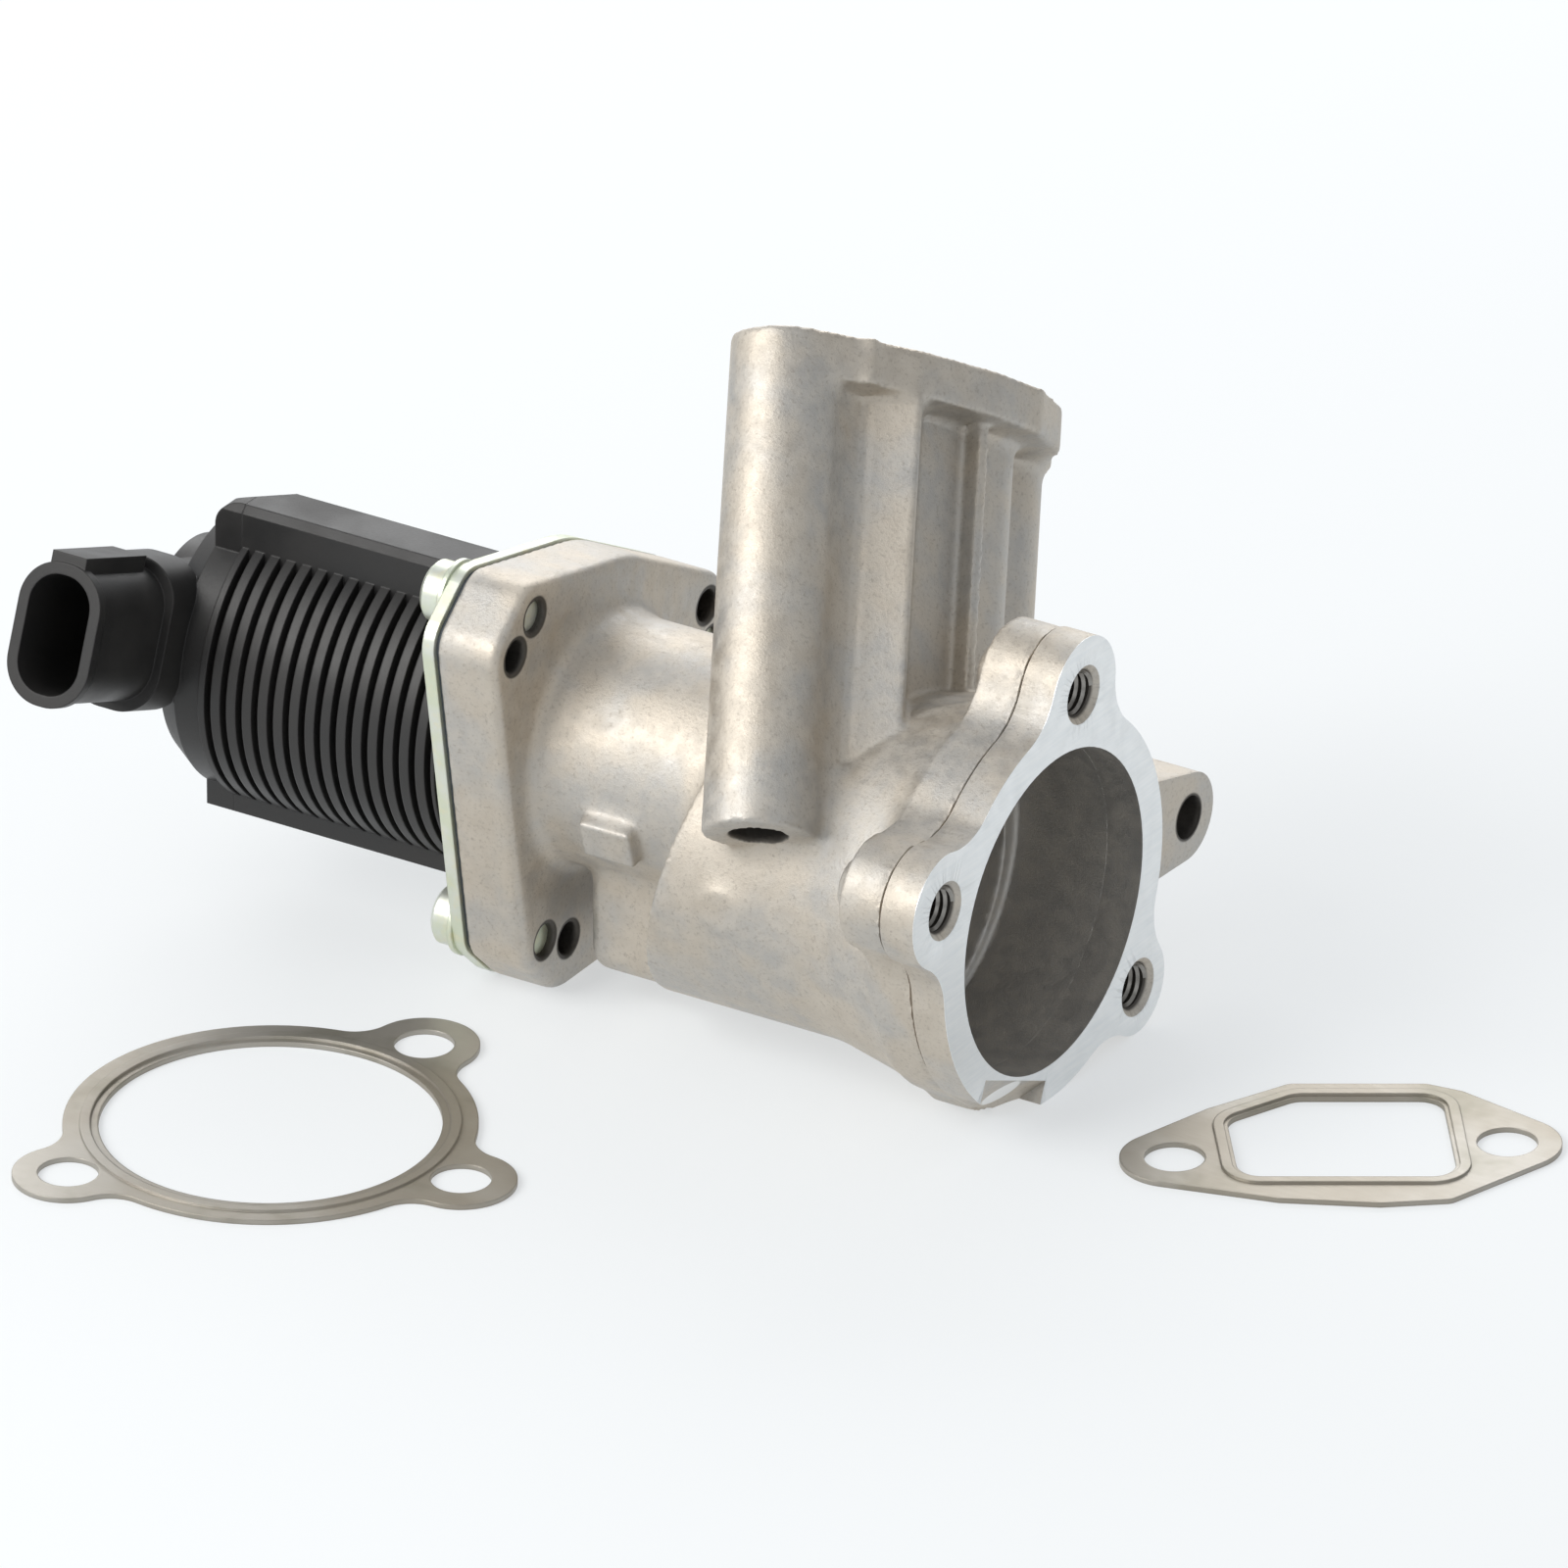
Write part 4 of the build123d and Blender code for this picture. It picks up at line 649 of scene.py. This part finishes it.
# ---- Solenoid --------------------------------------------------------------------------------
# Enamelled copper wire wound in layers on a nylon bobbin, inside a phosphated steel can.
# The board behind it reads the magnet on the armature's tail.
enamel = Finish("copper_wire", Metallic=0.7, Coat_Weight=0.6)
heat = enamel.noise(0.3, 3.0)
enamel.drive(
    Base_Color=enamel.mix(heat, (0.62, 0.22, 0.075), (0.45, 0.15, 0.06)),
    Roughness=0.28 + 0.15 * heat)
enamel.relief(enamel.noise(3.0, 2.0), 0.02, 0.3)
finishes["copper_wire"] = enamel.material
plain_finishes = {
    "bobbin_plastic": ((0.74, 0.68, 0.54), (0.66, 0.60, 0.47), 0.0, 0.45, 0.9),
    "can_steel": ((0.30, 0.31, 0.325), (0.40, 0.41, 0.42), 0.6, 0.48, 0.5),
    "board_green": ((0.02, 0.13, 0.055), (0.03, 0.19, 0.08), 0.0, 0.35, 0.35),
    "magnet_dark": ((0.10, 0.10, 0.11), (0.17, 0.17, 0.18), 0.5, 0.5, 1.2),
}
for slot, (base, tint, metal, rough, size) in plain_finishes.items():
    coat = Finish(slot, Metallic=metal)
    cloud = coat.noise(size, 4.0, 0.6, spread=(0.3, 0.7))
    coat.drive(Base_Color=coat.mix(cloud, base, tint), Roughness=rough + 0.12 * cloud)
    coat.relief(coat.noise(3.0, 3.0), 0.05, 0.4, edge_mm=0.2)
    finishes[slot] = coat.material
for node, slot in (
    ("coil_leads", "copper_wire"), ("coil_bobbin", "bobbin_plastic"), ("flux_can", "can_steel"),
    ("sensor_board", "board_green"), ("sensor_magnet", "magnet_dark"),
):
    paint(node, slot)

winding_low, winding_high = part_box("coil_winding")
wire_r = 0.3
winding = Tree("wound_wire", Radius=(15.4 - wire_r) * mm, Wire=wire_r * mm, Core=14.9 * mm,
               Bore=10.62 * mm, Length=winding_high.x - winding_low.x, Turns=46)
turns = winding.node("GeometryNodeCurveSpiral", values={
    "Resolution": 40, "Rotations": winding.size("Turns"),
    "Start Radius": winding.size("Radius"), "End Radius": winding.size("Radius"),
    "Height": winding.sum("SUBTRACT", winding.size("Length"),
                          winding.sum("MULTIPLY", winding.size("Wire"), 2.2))})
wire_end = winding.node("GeometryNodeCurvePrimitiveCircle", values={
    "Resolution": 6, "Radius": winding.size("Wire")})
wound = winding.node("GeometryNodeCurveToMesh", values={0: turns, 1: wire_end, "Fill Caps": True})
wound = winding.node("GeometryNodeTransform", values={
    "Geometry": wound,
    "Translation": winding.vector(z=winding.sum("MULTIPLY", winding.size("Wire"), 1.1))})
wall = winding.node("GeometryNodeCurvePrimitiveQuadrilateral", values={
    "Width": winding.sum("SUBTRACT", winding.size("Core"), winding.size("Bore")),
    "Height": winding.size("Length")})
middle_r = winding.sum(
    "MULTIPLY", winding.sum("ADD", winding.size("Core"), winding.size("Bore")), 0.5)
ring = winding.node("GeometryNodeCurvePrimitiveCircle", values={
    "Resolution": 96, "Radius": middle_r})
core = winding.node("GeometryNodeCurveToMesh", values={0: ring, 1: wall})
core = winding.node("GeometryNodeTransform", values={
    "Geometry": core,
    "Translation": winding.vector(z=winding.sum("MULTIPLY", winding.size("Length"), 0.5))})
both = winding.tree.nodes.new("GeometryNodeJoinGeometry")
for part in (wound, core):
    winding.tree.links.new(part, both.inputs[0])
winding.result = winding.node("GeometryNodeInstanceOnPoints", values={
    "Points": winding.node("GeometryNodeMeshToPoints", values={0: winding.shape}),
    "Instance": both.outputs[0],
    "Rotation": winding.node("GeometryNodeInputNamedAttribute", {"data_type": "FLOAT_VECTOR"},
                             {"Name": "turn"})})
spot = [((winding_low.x / mm, 0, valve_z), (1, 0, 0))]
wound_wire = winding.make("wound_wire", places("winding_place", spot), enamel.material)
finish_piece(wound_wire, "body", "copper_wire", enamel.material, "coil_winding")

# ---- Plastic cover, end cap and connector ----------------------------------------------------
# Injection-moulded glass-filled nylon, black and satin from a finely etched mould.
# The ribbed cover and the cap meet at a welded joint behind the last rib.
plastic = Finish("black_plastic", IOR=1.5)
etched = plastic.noise(2.6, 3.0, 0.7)
flow = plastic.noise(0.07, 3.0, 0.6, spread=(0.35, 0.68))
dust = plastic.step(plastic.noise(0.9, 5.0, 0.75), 0.66, 0.8)
shade = plastic.mix(flow, (0.020, 0.0195, 0.0195), (0.028, 0.0265, 0.0255))
plastic.drive(
    Base_Color=plastic.mix(dust * 0.35, shade, (0.075, 0.072, 0.068)),
    Roughness=0.36 + 0.12 * flow + 0.1 * etched)
plastic.relief(etched, 0.05, 0.35, edge_mm=0.35)
finishes["black_plastic"] = plastic.material
for node in ("solenoid_cover", "end_cap"):
    paint(node, "black_plastic")

# ---- Loose gaskets ---------------------------------------------------------------------------
# Stamped from coated spring steel sheet with an embossed bead round each opening.
# They lie flat beside the valve as they come in the same box.
sheet = Finish("gasket_steel", Metallic=0.65)
tint = sheet.noise(0.045, 3.0, 0.55, spread=(0.36, 0.64))
olive = sheet.noise(0.08, 3.0, 0.6, spread=(0.5, 0.72))
brushed = sheet.noise(0.9, 4.0, 0.65, stretch=(0.35, 2.5, 1.0))
coat = sheet.mix(tint, (0.37, 0.335, 0.28), (0.45, 0.425, 0.38))
coat = sheet.mix(olive * 0.6, coat, (0.27, 0.255, 0.195))
sheet.drive(Base_Color=coat, Roughness=0.36 + 0.18 * brushed)
sheet.relief(brushed, 0.03, 0.4, edge_mm=0.35)
finishes["gasket_steel"] = sheet.material
for node in ("round_gasket", "port_gasket"):
    paint(node, "gasket_steel")

# ---- Floor, light and camera -----------------------------------------------------------------
# A pale table under wide soft lamps, and a long lens from the front left.
floor_z = cad_low.z - 0.00005
floor_half = 2.5
floor_mesh = bpy.data.meshes.new("floor")
floor_mesh.from_pydata(
    [(x, y, floor_z) for x, y in ((-floor_half, -floor_half), (floor_half, -floor_half),
                                  (floor_half, floor_half), (-floor_half, floor_half))],
    [], [(0, 1, 2, 3)])
floor = bpy.data.objects.new("floor", floor_mesh)
bpy.context.scene.collection.objects.link(floor)
table = Finish("table", Roughness=0.9)
table.shader.inputs["Base Color"].default_value = (0.40, 0.412, 0.42, 1.0)
table.shader.inputs["Specular IOR Level"].default_value = 0.0
seen, mirrored, passed = (
    table.node("ShaderNodeLightPath", out=f"Is {ray} Ray")
    for ray in ("Camera", "Glossy", "Transmission"))
shown = table.node("ShaderNodeMath", {"operation": "MAXIMUM"}, {0: seen, 1: mirrored})
shown = table.node("ShaderNodeMath", {"operation": "MAXIMUM"}, {0: shown, 1: passed})
glow = table.node("ShaderNodeEmission", values={"Color": (0.97, 0.99, 1.0, 1.0),
                                                "Strength": 0.53 * shown})
lit = table.tree.nodes.new("ShaderNodeAddShader")
table.tree.links.new(table.shader.outputs[0], lit.inputs[0])
table.tree.links.new(glow.socket, lit.inputs[1])
table.tree.links.new(lit.outputs[0], table.tree.nodes["Material Output"].inputs["Surface"])
floor_mesh.materials.append(table.material)

world = bpy.data.worlds.new("studio")
bpy.context.scene.world = world
world.use_nodes = True
sky = world.node_tree
sky.nodes["Background"].inputs["Color"].default_value = (0.95, 0.975, 1.0, 1.0)
sky.nodes["Background"].inputs["Strength"].default_value = 0.49

middle = (cad_low + cad_high) / 2
for name, place, width, height, power, colour in (
    ("key", (-0.50, -0.75, 0.65), 0.7, 0.7, 9.4, (1.0, 0.985, 0.96)),
    ("fill", (0.95, -0.45, 0.5), 0.7, 0.7, 0.8, (0.95, 0.98, 1.0)),
    ("back", (-0.50, 0.80, 0.50), 1.1, 0.6, 6.0, (1.0, 1.0, 1.0)),
):
    lamp = bpy.data.lights.new(name, "AREA")
    lamp.shape, lamp.size, lamp.size_y = "RECTANGLE", width, height
    lamp.energy, lamp.color = power, colour
    holder = bpy.data.objects.new(name, lamp)
    holder.location = middle + Vector(place)
    holder.rotation_euler = (middle - holder.location).to_track_quat("-Z", "Y").to_euler()
    bpy.context.scene.collection.objects.link(holder)

view_right = Vector((0.8475, 0.5307, 0.0)).normalized()
view_back = Vector((0.4718, -0.7538, 0.4571)).normalized()
view_up = view_back.cross(view_right)
frame_width = 231.214 * mm
camera_distance = 4.0
lens = bpy.data.cameras.new("camera")
lens.sensor_width = 36.0
lens.lens = 36.0 * camera_distance / frame_width
lens.clip_end = 20.0
camera = bpy.data.objects.new("camera", lens)
aim = (view_right * -39.2 + view_up * 18.6 - view_back * 20.0) * mm
turn = Matrix((view_right, view_up, view_back)).transposed().to_4x4()
camera.matrix_world = Matrix.Translation(aim + view_back * camera_distance) @ turn
bpy.context.scene.collection.objects.link(camera)
bpy.context.scene.camera = camera
bpy.context.scene.view_settings.view_transform = "Standard"
